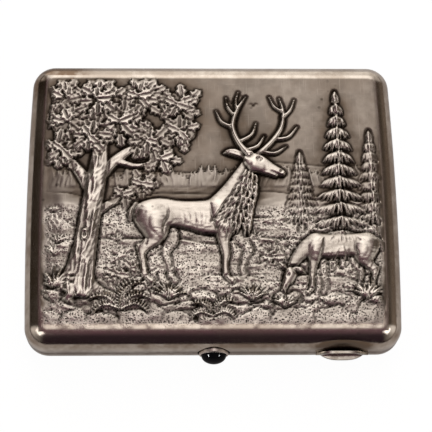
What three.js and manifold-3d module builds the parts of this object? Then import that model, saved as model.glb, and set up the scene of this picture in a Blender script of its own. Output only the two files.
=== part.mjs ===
// A silver cigarette case: two pressed trays joined by a nine-knuckle hinge along the back, a lid chased
// with a forest scene in high relief, a spring catch worked by a push button with a black cabochon, a pair
// of thumb lips at the right of the front wall, and an elastic band in each tray to hold the cigarettes.
// Millimetres. X runs along the length, +Y towards the hinge, +Z up. The origin is the centre of the flat
// face that the closed case lies on.
import * as THREE from 'three';
import { mergeVertices } from 'three/addons/utils/BufferGeometryUtils.js';
import Module from 'manifold-3d';

const wasm = await Module();
wasm.setup();

// The closed case
const CASE_LENGTH = 110;
const CASE_DEPTH = 90;
const CASE_THICKNESS = 16; // without the relief
const CORNER_RADIUS = 7; // seen from above
const EDGE_RADIUS = 5.8; // seen from the side
const SIDE_BOW = 0.7; // how far each short side swells out at its middle
const SHEET = 0.9; // the silver sheet of both trays
const SEAM = CASE_THICKNESS / 2;
const SEAM_GAP = 0.2;
const SOLDER = 0.1; // the line between two soldered pieces
const FREE = 0.3; // the gap between pieces that pass each other

// The hinge
const HINGE_MARGIN = 11; // from each end of the case to the hinge
const HINGE_LENGTH = CASE_LENGTH - 2 * HINGE_MARGIN;
const KNUCKLES = 9; // the odd ones belong to the base
const BARREL_RADIUS = 1.3;
const BORE_RADIUS = 0.75;
const PIN_RADIUS = 0.55;
const PLUG_LENGTH = 1.4;
const BEARER_DEPTH = 1.5; // the strip behind the barrel that stiffens the wall
const BARREL_SIDES = 20;

// The closing rim, which stands up inside the lid at the front and the sides
const RIM_SHEET = 0.6;
const RIM_HEIGHT = 1.2; // above the seam
const RIM_BACK_GAP = 12; // the rim stops this far before the back wall

// The push button and its cabochon
const NOTCH_RADIUS = 4.75;
const BEZEL_RADIUS = 4.35;
const BEZEL_WALL = 0.6;
const BEZEL_LENGTH = 1.6;
const BEZEL_PROUD = 0.8;
const SEAT_SHARE = 0.6; // where the stone's seat lies along the bezel, from its front
const STONE_HEIGHT = 2.5; // the dome alone
const STEM_RADIUS = 1.1;
const STEM_NECK = 0.7;
const STEM_HEAD = 0.7; // the length of the riveted head

// The catch
const SPRING_SHEET = 0.5;
const SPRING_HEIGHT = 3.2;
const SPRING_INSET = 2.6; // from the outside of the front wall to the spring
const SPRING_ROOT_X = -22;
const SPRING_TIP_X = 9.5;
const SPRING_BLOCK_LENGTH = 9;
const RIVET_RADIUS = 0.55;
const RIVET_HEAD = 1.1;
const RIVET_DOME = 0.5;
const RIVET_SHARES = [0.28, 0.72]; // where the rivets stand along the block
const NOSE_X = 7.5; // the middle of the nose, beside the button
const NOSE_WIDTH = 3;
const NOSE_HEIGHT = 0.7;
const NOSE_REACH = 1.1;
const KEEPER_SHEET = 0.5;
const KEEPER_DEPTH = 1.3;
const KEEPER_WIDTH = 4.4;

// The thumb lips, one on each tray, and the dent above them
const LIP_FROM_END = 17.5; // from the right end of the case to the middle of the lips
const LIP_X = CASE_LENGTH / 2 - LIP_FROM_END;
const LEDGE_LENGTH = 13.6;
const LEDGE_PROUD = 2;
const LEDGE_SHEET = 1.1;
const LIP_LENGTH = 15.4;
const LIP_HEIGHT = 1.9;
const LIP_PROUD = 0.5;
const SCOOP = { length: 17, depth: 2, height: 4.8, rise: 4.6 };

// The elastic bands and the staples that hold their ends
const BAND_WIDTH = 10;
const BAND_SHEET = 0.8;
const EYE_RADIUS = 1.1;
const WIRE_RADIUS = 0.4;
const WIRE_SIDES = 8;
const STAPLE_REACH = 1.6;
const BAND_DROP = 1.2; // from the seam down to the base band's middle
const BAND_RISE = 2.2; // from the seam up to the lid band's middle

// The relief
const RELIEF_HEIGHT = 2; // the highest form above the flat of the lid
const RELIEF_ROOT = 0.3; // how deep each form is sunk into the sheet
const RELIEF_FADE = 1.6; // how wide the slope is round the border of the scene
const STROKE_SIDES = 8;
const STAG = { x: -8, y: -26, scale: 1.18, flip: 1 };
const DOE = { x: 38, y: -29.5, scale: 0.86, flip: -1 };

const FRONT = -CASE_DEPTH / 2;
const BACK = CASE_DEPTH / 2;
const TOP = CASE_THICKNESS;
const CURVE_STEPS = 6;
const THROUGH = 3; // how far a hole's cutter reaches

const silver = new THREE.MeshStandardMaterial({ color: 0xb3a79b, roughness: 0.3, metalness: 1 });
const brightSilver = new THREE.MeshStandardMaterial({ color: 0xc9c1b6, roughness: 0.2, metalness: 1 });
const gilt = new THREE.MeshStandardMaterial({ color: 0xc9a45c, roughness: 0.28, metalness: 1 });
const springSteel = new THREE.MeshStandardMaterial({ color: 0x77797c, roughness: 0.35, metalness: 1 });
const blackStone = new THREE.MeshStandardMaterial({ color: 0x060606, roughness: 0.05, metalness: 0 });
const elastic = new THREE.MeshStandardMaterial({ color: 0x8b6f45, roughness: 0.85, metalness: 0 });

// A closed geometry as a solid that can be joined and cut.
function solid(geometry) {
  const plain = geometry.index ? geometry.toNonIndexed() : geometry.clone();
  plain.deleteAttribute('normal');
  plain.deleteAttribute('uv');
  const merged = mergeVertices(plain, 1e-4);
  return new wasm.Manifold(new wasm.Mesh({
    numProp: 3,
    vertProperties: merged.attributes.position.array,
    triVerts: new Uint32Array(merged.index.array),
  }));
}

function geometryOf(made) {
  const mesh = made.getMesh();
  const geometry = new THREE.BufferGeometry();
  geometry.setAttribute('position', new THREE.BufferAttribute(mesh.vertProperties, 3));
  geometry.setIndex(new THREE.BufferAttribute(mesh.triVerts, 1));
  const faceted = geometry.toNonIndexed();
  faceted.computeVertexNormals();
  return faceted;
}

function piece(name, made, material) {
  const mesh = new THREE.Mesh(geometryOf(made), material);
  mesh.name = name;
  return mesh;
}

// A box between two corners.
function block(x0, y0, z0, x1, y1, z1) {
  const geometry = new THREE.BoxGeometry(x1 - x0, y1 - y0, z1 - z0);
  geometry.translate((x0 + x1) / 2, (y0 + y1) / 2, (z0 + z1) / 2);
  return solid(geometry);
}

// A rod along X, starting at x0.
function rodX(radius, x0, length, y, z, sides = BARREL_SIDES) {
  const geometry = new THREE.CylinderGeometry(radius, radius, length, sides);
  geometry.rotateZ(Math.PI / 2);
  geometry.translate(x0 + length / 2, y, z);
  return solid(geometry);
}

// A rod along Y, starting at y0.
function rodY(radius, y0, length, x, z, sides = 32) {
  const geometry = new THREE.CylinderGeometry(radius, radius, length, sides);
  geometry.translate(x, y0 + length / 2, z);
  return solid(geometry);
}

// A turned piece on an axis along Y. Each profile point is [radius, distance in from the front face].
function turnedY(profile, x, z, sides = 32) {
  const points = profile.map(([radius, inset]) => new THREE.Vector2(radius, inset));
  const geometry = new THREE.LatheGeometry(points, sides);
  geometry.translate(x, FRONT, z);
  return solid(geometry);
}

// The outline of the case seen from above, drawn in by an inset all round.
function outline(inset) {
  const x = CASE_LENGTH / 2 - inset;
  const y = CASE_DEPTH / 2 - inset;
  const radius = CORNER_RADIUS - inset;
  const shape = new THREE.Shape();
  shape.moveTo(-x + radius, -y);
  shape.lineTo(x - radius, -y);
  shape.absarc(x - radius, -y + radius, radius, -Math.PI / 2, 0);
  shape.quadraticCurveTo(x + 2 * SIDE_BOW, 0, x, y - radius);
  shape.absarc(x - radius, y - radius, radius, 0, Math.PI / 2);
  shape.lineTo(-x + radius, y);
  shape.absarc(-x + radius, y - radius, radius, Math.PI / 2, Math.PI);
  shape.quadraticCurveTo(-x - 2 * SIDE_BOW, 0, -x, -y + radius);
  shape.absarc(-x + radius, -y + radius, radius, Math.PI, 1.5 * Math.PI);
  return shape;
}

// The closed case as one rounded block, drawn in by an inset on every side.
function pillow(inset) {
  const round = EDGE_RADIUS - inset;
  const straight = CASE_THICKNESS - 2 * EDGE_RADIUS;
  const geometry = new THREE.ExtrudeGeometry(outline(inset), {
    depth: straight,
    curveSegments: CURVE_STEPS,
    bevelThickness: round,
    bevelSize: round,
    bevelOffset: -round,
    bevelSegments: CURVE_STEPS,
  });
  geometry.translate(0, 0, EDGE_RADIUS);
  return solid(geometry);
}

// A band that follows the outline between two insets.
function ring(outer, inner, z0, z1) {
  const shape = outline(outer);
  shape.holes.push(outline(inner));
  const geometry = new THREE.ExtrudeGeometry(shape, {
    depth: z1 - z0,
    curveSegments: CURVE_STEPS,
    bevelEnabled: false,
  });
  geometry.translate(0, 0, z0);
  return solid(geometry);
}

const everywhere = CASE_LENGTH;
const above = () => block(-everywhere, -everywhere, SEAM + SEAM_GAP / 2, everywhere, everywhere, everywhere);
const below = () => block(-everywhere, -everywhere, -everywhere, everywhere, everywhere, SEAM - SEAM_GAP / 2);
const buttonNotch = (depth) => rodY(NOTCH_RADIUS, FRONT - 1, depth + 1, 0, SEAM);
const gallery = () =>
  rodX(BARREL_RADIUS + FREE, -HINGE_LENGTH / 2 - FREE, HINGE_LENGTH + 2 * FREE, BACK, SEAM);

// The thumb dent pressed into the lid's front edge, or the same grown by the sheet for its inner side.
function scoop(grown) {
  const geometry = new THREE.SphereGeometry(1, 24, 16);
  geometry.scale(SCOOP.length / 2 + grown, SCOOP.depth + grown, SCOOP.height / 2 + grown);
  geometry.translate(LIP_X, FRONT - FREE, SEAM + SCOOP.rise);
  return solid(geometry);
}

// One chased form: a flattened stroke from (x0, y0) to (x1, y1) that tapers from radius r0 to r1.
function stroke([x0, y0, r0, x1, y1, r1, height]) {
  const length = Math.hypot(x1 - x0, y1 - y0);
  const near = [];
  const far = [];
  const steps = 2;
  for (let i = 1; i <= steps; i += 1) {
    const turn = (Math.PI / 2) * (i / steps);
    near.push(new THREE.Vector2(r0 * Math.sin(turn), -r0 * Math.cos(turn)));
    far.unshift(new THREE.Vector2(r1 * Math.sin(turn), length + r1 * Math.cos(turn)));
  }
  const profile = [new THREE.Vector2(0, -r0), ...near, ...far, new THREE.Vector2(0, length + r1)];
  const geometry = new THREE.LatheGeometry(profile, STROKE_SIDES);
  geometry.scale(1, 1, (height + RELIEF_ROOT) / Math.max(r0, r1));
  geometry.rotateZ(Math.atan2(y1 - y0, x1 - x0) - Math.PI / 2);
  geometry.translate(x0, y0, TOP - RELIEF_ROOT);
  return solid(geometry);
}

// A chain of strokes through [x, y, radius] points.
function limb(height, ...points) {
  return points.slice(1).map((to, i) => stroke([...points[i], ...to, height]));
}

// Points of a drawing, scaled and set down in their place. A flip of -1 turns it the other way round.
function placed({ x, y, scale, flip }, points) {
  return points.map(([px, py, radius]) => [x + flip * scale * px, y + scale * py, scale * radius]);
}

// The old oak at the left: trunk, roots, boughs, the masses of its crown and the bushes beside it.
function oak() {
  const forms = [
    ...limb(1.8, [-39.2, -26, 4.6], [-37, -14, 3.4], [-34, 8, 2.9], [-33, 19, 1.9]),
    ...limb(1.3, [-39, -26, 3], [-47.5, -29.6, 0.9]),
    ...limb(1.3, [-38.5, -25.5, 2.9], [-29, -29.8, 0.8]),
    ...limb(1.3, [-34.6, 1, 2.3], [-38.4, 7.5, 1.8], [-44, 15, 1.1]),
    ...limb(1.3, [-34, 6, 2.1], [-28.5, 12.5, 1.6], [-20, 18, 1]),
    ...limb(1.2, [-35.4, -5.5, 1.7], [-25.4, 0.6, 0.8]),
    ...limb(1.2, [-28.5, 12, 1.2], [-16.5, 12, 0.5]),
  ];
  const masses = [
    [-20.5, 4.6, 3, 0.9], [-26, 1, 2.4, 0.8], [-15, 12.6, 3.6, 0.9], [-44, 15.4, 4.2, 1],
    [-9.5, 21.5, 4.2, 1], [-10.5, 30.5, 5, 1], [-19.5, 18.8, 4.8, 1.1], [-43.6, 32.6, 4.6, 1],
    [-22, 33, 5.6, 1.2], [-42.6, 24.6, 5.2, 1.2], [-27.5, 24.5, 6.2, 1.3], [-34.5, 32, 6, 1.3],
    [-36.4, 20, 4.6, 1.3], [-23.5, -22.6, 3.6, 1],
  ];
  const lean = 0.3;
  for (const [x, y, radius, height] of masses) {
    forms.push(stroke([x - lean * radius, y, radius, x + lean * radius, y, radius, height]));
  }
  return forms;
}

// A fir tree of drooping tiers, each a flattened cone.
function fir(x, foot, top, halfWidth, tiers, height) {
  const bare = 3; // the length of trunk under the lowest tier
  const leader = 0.6; // the half width of the top
  const overlap = 1.7;
  const forms = limb(height, [x, foot, 1], [x, foot + bare + 1, 0.9]);
  const rise = (top - foot - bare) / tiers;
  for (let i = 0; i < tiers; i += 1) {
    const share = 1 - i / tiers;
    const radius = halfWidth * share + leader;
    const tier = new THREE.ConeGeometry(radius, rise * overlap, STROKE_SIDES);
    tier.scale(1, 1, ((height + RELIEF_ROOT) * (1 + share)) / (2 * radius));
    tier.translate(x, foot + bare + rise * (i + overlap / 2), TOP - RELIEF_ROOT);
    forms.push(solid(tier));
  }
  return forms;
}

// The stag that stands in the clearing, facing right.
function stag() {
  const at = (height, ...points) => limb(height, ...placed(STAG, points));
  return [
    ...at(1.8, [-9.4, 17.9, 3.5], [-2.2, 17.9, 3.6], [5.6, 16.9, 4.5], [9.2, 17.2, 4.6]),
    ...at(1.8, [9.6, 18.8, 4], [12.4, 24, 3.2], [15.9, 30.8, 2.2]),
    ...at(2, [16.8, 32, 2.2], [20, 30.8, 1.7], [24.2, 28.8, 0.9]),
    ...at(1.4, [15.2, 33, 0.7], [11.4, 34.6, 1]),
    ...at(1.6, [10, 15.4, 3], [9.5, 9.8, 1.3], [9.8, 2.1, 0.85], [11.2, 0.4, 0.9]),
    ...at(1.7, [-8.7, 17, 4.1], [-7.6, 12.6, 2.8], [-10.7, 8.3, 1.2], [-10.1, 2.1, 0.9], [-8.7, 0.4, 0.9]),
    ...at(1, [11.2, 15, 2.8], [15.4, 8.2, 1.2], [13.9, 3.2, 0.85]),
    ...at(1, [-6, 15.5, 3.2], [-4.8, 8.2, 1.2], [-3.8, 1.9, 0.9], [-2.8, 0.4, 0.9]),
    ...at(1.1, [-12.2, 20.2, 1], [-13.8, 16, 0.4]),
    ...at(1.6, [16, 33.9, 0.95], [12, 41.6, 0.66], [13.2, 46.2, 0.5], [15.4, 50, 0.3]),
    ...at(1.5, [15.2, 35, 0.6], [20, 39, 0.35]),
    ...at(1.5, [13.7, 37.4, 0.55], [18, 42.6, 0.35]),
    ...at(1.5, [12.1, 41.4, 0.5], [7.8, 46, 0.35]),
    ...at(1.4, [12.6, 44.6, 0.45], [10.4, 49.8, 0.3]),
    ...at(1, [18, 33.8, 0.72], [24.4, 41.4, 0.58], [25, 45.8, 0.44], [24.2, 49.6, 0.3]),
    ...at(1, [19.2, 34.8, 0.55], [25.4, 36.2, 0.35]),
    ...at(1, [22.4, 38.2, 0.5], [28.4, 41.6, 0.35]),
    ...at(1, [24.8, 44.2, 0.45], [28, 49.2, 0.3]),
  ];
}

// The doe that grazes before the firs, facing left.
function doe() {
  const at = (height, ...points) => limb(height, ...placed(DOE, points));
  return [
    ...at(1.5, [-7.6, 17.6, 4.2], [0.6, 16.9, 4], [8.8, 17.2, 4.1]),
    ...at(1.5, [9.6, 17.6, 3.6], [14.8, 14, 2.4], [18, 8.4, 1.6]),
    ...at(1.5, [18.4, 7.4, 1.8], [20.6, 1.6, 0.9]),
    ...at(1.4, [16.8, 8.8, 0.9], [14.2, 7.6, 0.7]),
    ...at(1.3, [9.8, 15, 2.8], [10.6, 9.4, 1.35], [11.1, 2, 0.9], [12.3, 0.6, 0.9]),
    ...at(1.4, [-7.6, 16.6, 4.3], [-7, 12.4, 2.7], [-10.2, 8.2, 1.25], [-9.2, 2, 0.9], [-8, 0.6, 0.9]),
    ...at(0.9, [8.6, 15, 2.6], [7, 7.2, 1.1], [6.5, 1.2, 0.85]),
    ...at(0.9, [-5, 15.5, 3], [-5.4, 7.4, 1.15], [-4.6, 1, 0.85]),
  ];
}

// The worn stones along the bottom of the scene: middle, half width, half depth and height.
function rocks() {
  const stones = [
    [-47, -29.8, 3.4, 1.8, 0.8], [-16.5, -31.4, 4.6, 1.9, 0.8], [-2.5, -30.8, 3.6, 1.6, 0.7],
    [7.5, -31, 4.8, 1.8, 0.8], [21.5, -31.2, 4, 1.6, 0.8], [33.5, -32, 4.4, 1.7, 0.9],
    [46.5, -32.4, 3.4, 1.9, 0.9], [-43, -35.2, 5.4, 2.6, 1.1], [-32.5, -36.2, 5.6, 2.3, 1],
    [-21.5, -35.6, 6, 2.8, 1.2], [-9.5, -36.4, 6.2, 2.4, 1.1], [2.5, -35.4, 6, 2.8, 1.2],
    [14.5, -36.4, 6.2, 2.4, 1.1], [26.5, -35.6, 6, 2.8, 1.2], [38, -36.6, 5.8, 2.3, 1],
  ];
  return stones.map(([x, y, half, deep, height]) =>
    stroke([x - half + deep, y, deep, x + half - deep, y, deep, height]));
}

// The far forest and the clearing before it, two low steps behind everything else.
function hills() {
  const right = CASE_LENGTH / 2 - EDGE_RADIUS;
  const foot = FRONT + EDGE_RADIUS;
  const ranges = [
    { crest: 7.5, swing: 1.4, waves: 3.4, start: 0.4, height: 0.35 },
    { crest: -1, swing: 1.2, waves: 2.3, start: 2.2, height: 0.6 },
  ];
  return ranges.map(({ crest, swing, waves, start, height }) => {
    const shape = new THREE.Shape();
    shape.moveTo(-right, foot);
    shape.lineTo(right, foot);
    const steps = 18;
    for (let i = 0; i <= steps; i += 1) {
      const along = 1 - (2 * i) / steps;
      shape.lineTo(right * along, crest + swing * Math.sin(waves * Math.PI * along + start));
    }
    const geometry = new THREE.ExtrudeGeometry(shape, { depth: height + RELIEF_ROOT, bevelEnabled: false });
    geometry.translate(0, 0, TOP - RELIEF_ROOT);
    return solid(geometry);
  });
}

// The room that the scene may fill: the flat of the lid's top, with a slope round its border.
function panel() {
  const x = CASE_LENGTH / 2 - EDGE_RADIUS - RELIEF_FADE;
  const y = BACK - EDGE_RADIUS - RELIEF_FADE;
  const shape = new THREE.Shape();
  shape.moveTo(-x, -y);
  shape.lineTo(x, -y);
  shape.lineTo(x, y);
  shape.lineTo(-x, y);
  const geometry = new THREE.ExtrudeGeometry(shape, {
    depth: RELIEF_ROOT * 2,
    bevelThickness: RELIEF_HEIGHT,
    bevelSize: RELIEF_FADE,
    bevelSegments: 1,
  });
  const low = TOP - RELIEF_ROOT * 2;
  geometry.translate(0, 0, low);
  return solid(geometry).intersect(block(-everywhere, -everywhere, low, everywhere, everywhere, everywhere));
}

function relief() {
  return [
    ...hills(),
    ...fir(26, -10, 15, 4.4, 5, 0.9),
    ...fir(47, -14, 22, 5.4, 6, 0.9),
    ...fir(37.5, -21, 35, 8.6, 8, 1.4),
    ...oak(),
    ...stag(),
    ...doe(),
    ...rocks(),
  ].reduce((all, form) => all.add(form)).intersect(panel());
}

function lidShell() {
  const cavity = pillow(SHEET).subtract(scoop(SHEET));
  return pillow(0)
    .subtract(cavity)
    .intersect(above())
    .subtract(scoop(0))
    .subtract(buttonNotch(EDGE_RADIUS / 2))
    .subtract(gallery())
    .add(relief());
}

function baseShell() {
  return pillow(0)
    .subtract(pillow(SHEET))
    .intersect(below())
    .subtract(buttonNotch(EDGE_RADIUS / 2))
    .subtract(gallery());
}

// The strip behind the hinge barrel, from the seam to the start of the rounded edge.
function hingeBearer(side) {
  const near = SEAM + side * (SEAM_GAP / 2);
  const far = SEAM + side * (CASE_THICKNESS / 2 - EDGE_RADIUS);
  const inner = BACK - SHEET - SOLDER;
  return block(
    -HINGE_LENGTH / 2, inner - BEARER_DEPTH, Math.min(near, far),
    HINGE_LENGTH / 2, inner, Math.max(near, far),
  ).subtract(gallery());
}

function hingeKnuckle(index) {
  const pitch = HINGE_LENGTH / KNUCKLES;
  const start = -HINGE_LENGTH / 2 + index * pitch + FREE / 2;
  const length = pitch - FREE;
  return rodX(BARREL_RADIUS, start, length, BACK, SEAM)
    .subtract(rodX(BORE_RADIUS, start - 1, length + 2, BACK, SEAM));
}

function hingePin() {
  const length = HINGE_LENGTH - 2 * (PLUG_LENGTH + FREE) - FREE;
  return rodX(PIN_RADIUS, -length / 2, length, BACK, SEAM);
}

function hingePlug(side) {
  const outside = side * (HINGE_LENGTH / 2 - FREE / 2);
  const start = side > 0 ? outside - PLUG_LENGTH : outside;
  return rodX(BORE_RADIUS - SOLDER, start, PLUG_LENGTH, BACK, SEAM);
}

// The rim that closes the seam: a bent strip on each side of the button, open along the back.
function closingRim(side) {
  const outer = SHEET + FREE;
  const bottom = EDGE_RADIUS + FREE;
  const start = NOTCH_RADIUS + FREE;
  const half = side > 0
    ? block(start, -everywhere, 0, everywhere, BACK - RIM_BACK_GAP, everywhere)
    : block(-everywhere, -everywhere, 0, -start, BACK - RIM_BACK_GAP, everywhere);
  return ring(outer, outer + RIM_SHEET, bottom, SEAM + RIM_HEIGHT).intersect(half);
}

// A crescent ledge on the base, just under the seam.
function baseLedge() {
  const half = LEDGE_LENGTH / 2;
  const shape = new THREE.Shape();
  shape.moveTo(half, 0);
  shape.lineTo(-half, 0);
  shape.quadraticCurveTo(0, -2 * LEDGE_PROUD, half, 0);
  const round = LEDGE_SHEET / 4;
  const geometry = new THREE.ExtrudeGeometry(shape, {
    depth: LEDGE_SHEET - 2 * round,
    curveSegments: 16,
    bevelThickness: round,
    bevelSize: round,
    bevelOffset: -round,
    bevelSegments: 2,
  });
  geometry.translate(LIP_X, FRONT - SOLDER, SEAM - SEAM_GAP / 2 - LEDGE_SHEET + round);
  return solid(geometry);
}

// A lens-shaped lip on the lid, just over the seam.
function lidLip() {
  const half = LIP_LENGTH / 2;
  const shape = new THREE.Shape();
  shape.moveTo(-half, 0);
  shape.lineTo(half, 0);
  shape.quadraticCurveTo(0, 2 * LIP_HEIGHT, -half, 0);
  const round = LIP_PROUD / 2;
  const geometry = new THREE.ExtrudeGeometry(shape, {
    depth: LIP_PROUD - round,
    curveSegments: 16,
    bevelThickness: round,
    bevelSize: round,
    bevelOffset: -round,
    bevelSegments: 2,
  });
  geometry.rotateX(Math.PI / 2);
  geometry.translate(LIP_X, FRONT - SOLDER - round, SEAM + SEAM_GAP / 2);
  return solid(geometry).subtract(
    block(0, FRONT - SOLDER, 0, everywhere, BACK, everywhere),
  );
}

function bezel() {
  const front = -BEZEL_PROUD;
  const back = BEZEL_LENGTH - BEZEL_PROUD;
  const seat = front + (back - front) * SEAT_SHARE;
  const mouth = BEZEL_RADIUS - BEZEL_WALL;
  return turnedY([
    [0, seat], [mouth, seat], [mouth, front], [mouth + BEZEL_WALL / 3, front],
    [BEZEL_RADIUS, front + BEZEL_WALL / 2], [BEZEL_RADIUS, back], [0, back],
  ], 0, SEAM);
}

function cabochon() {
  const seat = -BEZEL_PROUD + BEZEL_LENGTH * SEAT_SHARE - SOLDER;
  const radius = BEZEL_RADIUS - BEZEL_WALL - SOLDER;
  const profile = [[0, seat], [radius, seat]];
  for (let i = 0; i <= CURVE_STEPS; i += 1) {
    const turn = (Math.PI / 2) * (i / CURVE_STEPS);
    profile.push([
      i === CURVE_STEPS ? 0 : radius * Math.cos(turn),
      -BEZEL_PROUD - STONE_HEIGHT * Math.sin(turn),
    ]);
  }
  return turnedY(profile.reverse(), 0, SEAM);
}

// The stem is riveted through the spring: a shoulder in front of it and a head behind.
function buttonStem() {
  const start = BEZEL_LENGTH - BEZEL_PROUD + SOLDER;
  const shoulder = SPRING_INSET - SOLDER;
  const head = SPRING_INSET + SPRING_SHEET + SOLDER;
  return turnedY([
    [0, start], [STEM_RADIUS, start], [STEM_RADIUS, shoulder], [STEM_NECK, shoulder],
    [STEM_NECK, head], [STEM_RADIUS, head], [STEM_RADIUS * 0.8, head + STEM_HEAD * 0.7],
    [0, head + STEM_HEAD],
  ], 0, SEAM, 20);
}

// The packing block that carries the root of the spring.
const rivetPlaces = RIVET_SHARES.map((share) => SPRING_ROOT_X + SPRING_BLOCK_LENGTH * share);

function catchBlock() {
  const front = FRONT + SHEET + FREE + RIM_SHEET + SOLDER;
  const back = FRONT + SPRING_INSET - SOLDER;
  const low = SEAM - SPRING_HEIGHT / 2;
  return rivetPlaces.reduce(
    (made, x) => made.subtract(rodY(RIVET_RADIUS + SOLDER, front - 1, THROUGH, x, SEAM, 16)),
    block(SPRING_ROOT_X, front, low, SPRING_ROOT_X + SPRING_BLOCK_LENGTH, back, SEAM + RIM_HEIGHT),
  );
}

function catchRivet(x) {
  const start = SHEET + FREE + RIM_SHEET + SOLDER;
  const head = SPRING_INSET + SPRING_SHEET + SOLDER;
  return turnedY([
    [0, start], [RIVET_RADIUS, start], [RIVET_RADIUS, head], [RIVET_HEAD, head],
    [RIVET_HEAD * 0.7, head + RIVET_DOME * 0.8], [0, head + RIVET_DOME],
  ], x, SEAM, 16);
}

// The leaf spring of the catch, with a nose beside the button that hooks over the keeper.
function catchSpring() {
  const front = FRONT + SPRING_INSET;
  const low = SEAM - SPRING_HEIGHT / 2;
  const high = SEAM + SPRING_HEIGHT / 2;
  const noseFoot = SEAM + RIM_HEIGHT + FREE + KEEPER_SHEET + FREE;
  const leaf = block(SPRING_ROOT_X, front, low, SPRING_TIP_X, front + SPRING_SHEET, high);
  const profile = new THREE.Shape();
  profile.moveTo(0, high - SPRING_SHEET);
  profile.lineTo(SPRING_SHEET, high - SPRING_SHEET);
  profile.lineTo(SPRING_SHEET, noseFoot + NOSE_HEIGHT);
  profile.lineTo(0, noseFoot + NOSE_HEIGHT);
  profile.lineTo(-NOSE_REACH, noseFoot + NOSE_HEIGHT / 3);
  profile.lineTo(-NOSE_REACH, noseFoot);
  profile.lineTo(0, noseFoot);
  const hook = new THREE.ExtrudeGeometry(profile, { depth: NOSE_WIDTH, bevelEnabled: false });
  hook.rotateX(Math.PI / 2);
  hook.rotateZ(Math.PI / 2);
  hook.translate(NOSE_X - NOSE_WIDTH / 2, front, 0);
  const holes = [
    rodY(STEM_NECK + SOLDER, front - 1, THROUGH, 0, SEAM, 20),
    ...rivetPlaces.map((x) => rodY(RIVET_RADIUS + SOLDER, front - 1, THROUGH, x, SEAM, 16)),
  ];
  return holes.reduce((made, hole) => made.subtract(hole), leaf.add(solid(hook)));
}

// The little plate inside the lid that the nose of the spring hooks over.
function lidKeeper() {
  const front = FRONT + SHEET + SOLDER;
  const low = SEAM + RIM_HEIGHT + FREE;
  return block(
    NOSE_X - KEEPER_WIDTH / 2, front, low,
    NOSE_X + KEEPER_WIDTH / 2, front + KEEPER_DEPTH, low + KEEPER_SHEET,
  );
}

// Where the bar of a staple stands: inside the closing rim on the base, and in line with it in the lid.
const barX = CASE_LENGTH / 2 + SIDE_BOW - SHEET - FREE - RIM_SHEET - SOLDER - STAPLE_REACH;

// A wire staple: a bar along Y with a leg at each end that runs out to the wall.
function staple(side, z, wallX) {
  const reach = BAND_WIDTH / 2 + 3 * WIRE_RADIUS;
  const legs = [-1, 1].map((end) => {
    const length = wallX - barX;
    return rodX(WIRE_RADIUS, side > 0 ? barX : -barX - length, length, end * reach, z, WIRE_SIDES);
  });
  const bar = new THREE.CylinderGeometry(WIRE_RADIUS, WIRE_RADIUS, 2 * reach, WIRE_SIDES);
  bar.translate(side * barX, 0, z);
  const ends = [-1, 1].map((end) => {
    const bend = new THREE.SphereGeometry(WIRE_RADIUS, WIRE_SIDES, WIRE_SIDES / 2);
    bend.translate(side * barX, end * reach, z);
    return solid(bend);
  });
  return [...legs, ...ends].reduce((made, part) => made.add(part), solid(bar));
}

const lidWallX = CASE_LENGTH / 2 + SIDE_BOW - SHEET - FREE;
const rimWallX = lidWallX - FREE - RIM_SHEET;

// The elastic band: flat, with an eye at each end that goes round the bar of its staple.
function band(z) {
  const half = barX;
  const thick = BAND_SHEET / 2;
  const shape = new THREE.Shape();
  const open = Math.asin(thick / EYE_RADIUS);
  shape.moveTo(-half + EYE_RADIUS * Math.cos(open), -thick);
  shape.lineTo(half - EYE_RADIUS * Math.cos(open), -thick);
  shape.absarc(half, 0, EYE_RADIUS, Math.PI + open, 3 * Math.PI - open);
  shape.lineTo(-half + EYE_RADIUS * Math.cos(open), thick);
  shape.absarc(-half, 0, EYE_RADIUS, open, 2 * Math.PI - open);
  for (const side of [-1, 1]) {
    const eye = new THREE.Path();
    eye.absarc(side * half, 0, WIRE_RADIUS + FREE, 0, 2 * Math.PI, true);
    shape.holes.push(eye);
  }
  const geometry = new THREE.ExtrudeGeometry(shape, {
    depth: BAND_WIDTH,
    curveSegments: CURVE_STEPS,
    bevelEnabled: false,
  });
  geometry.rotateX(Math.PI / 2);
  geometry.translate(0, BAND_WIDTH / 2, z);
  return solid(geometry);
}

const baseBandZ = SEAM - BAND_DROP;
const lidBandZ = SEAM + BAND_RISE;

function baseTray() {
  const tray = new THREE.Group();
  tray.add(
    piece('base_shell', baseShell(), silver),
    piece('base_rim_left', closingRim(-1), gilt),
    piece('base_rim_right', closingRim(1), gilt),
    piece('base_hinge_bearer', hingeBearer(-1), gilt),
    piece('hinge_pin', hingePin(), springSteel),
    piece('hinge_plug_left', hingePlug(-1), silver),
    piece('hinge_plug_right', hingePlug(1), silver),
    piece('base_thumb_ledge', baseLedge(), brightSilver),
    piece('catch_block', catchBlock(), gilt),
    piece('catch_spring', catchSpring(), springSteel),
    piece('catch_rivet_1', catchRivet(rivetPlaces[0]), brightSilver),
    piece('catch_rivet_2', catchRivet(rivetPlaces[1]), brightSilver),
    piece('base_band', band(baseBandZ), elastic),
    piece('base_staple_left', staple(-1, baseBandZ, rimWallX), gilt),
    piece('base_staple_right', staple(1, baseBandZ, rimWallX), gilt),
  );
  for (let i = 0; i < KNUCKLES; i += 2) {
    tray.add(piece(`base_knuckle_${i / 2 + 1}`, hingeKnuckle(i), silver));
  }
  return tray;
}

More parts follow.
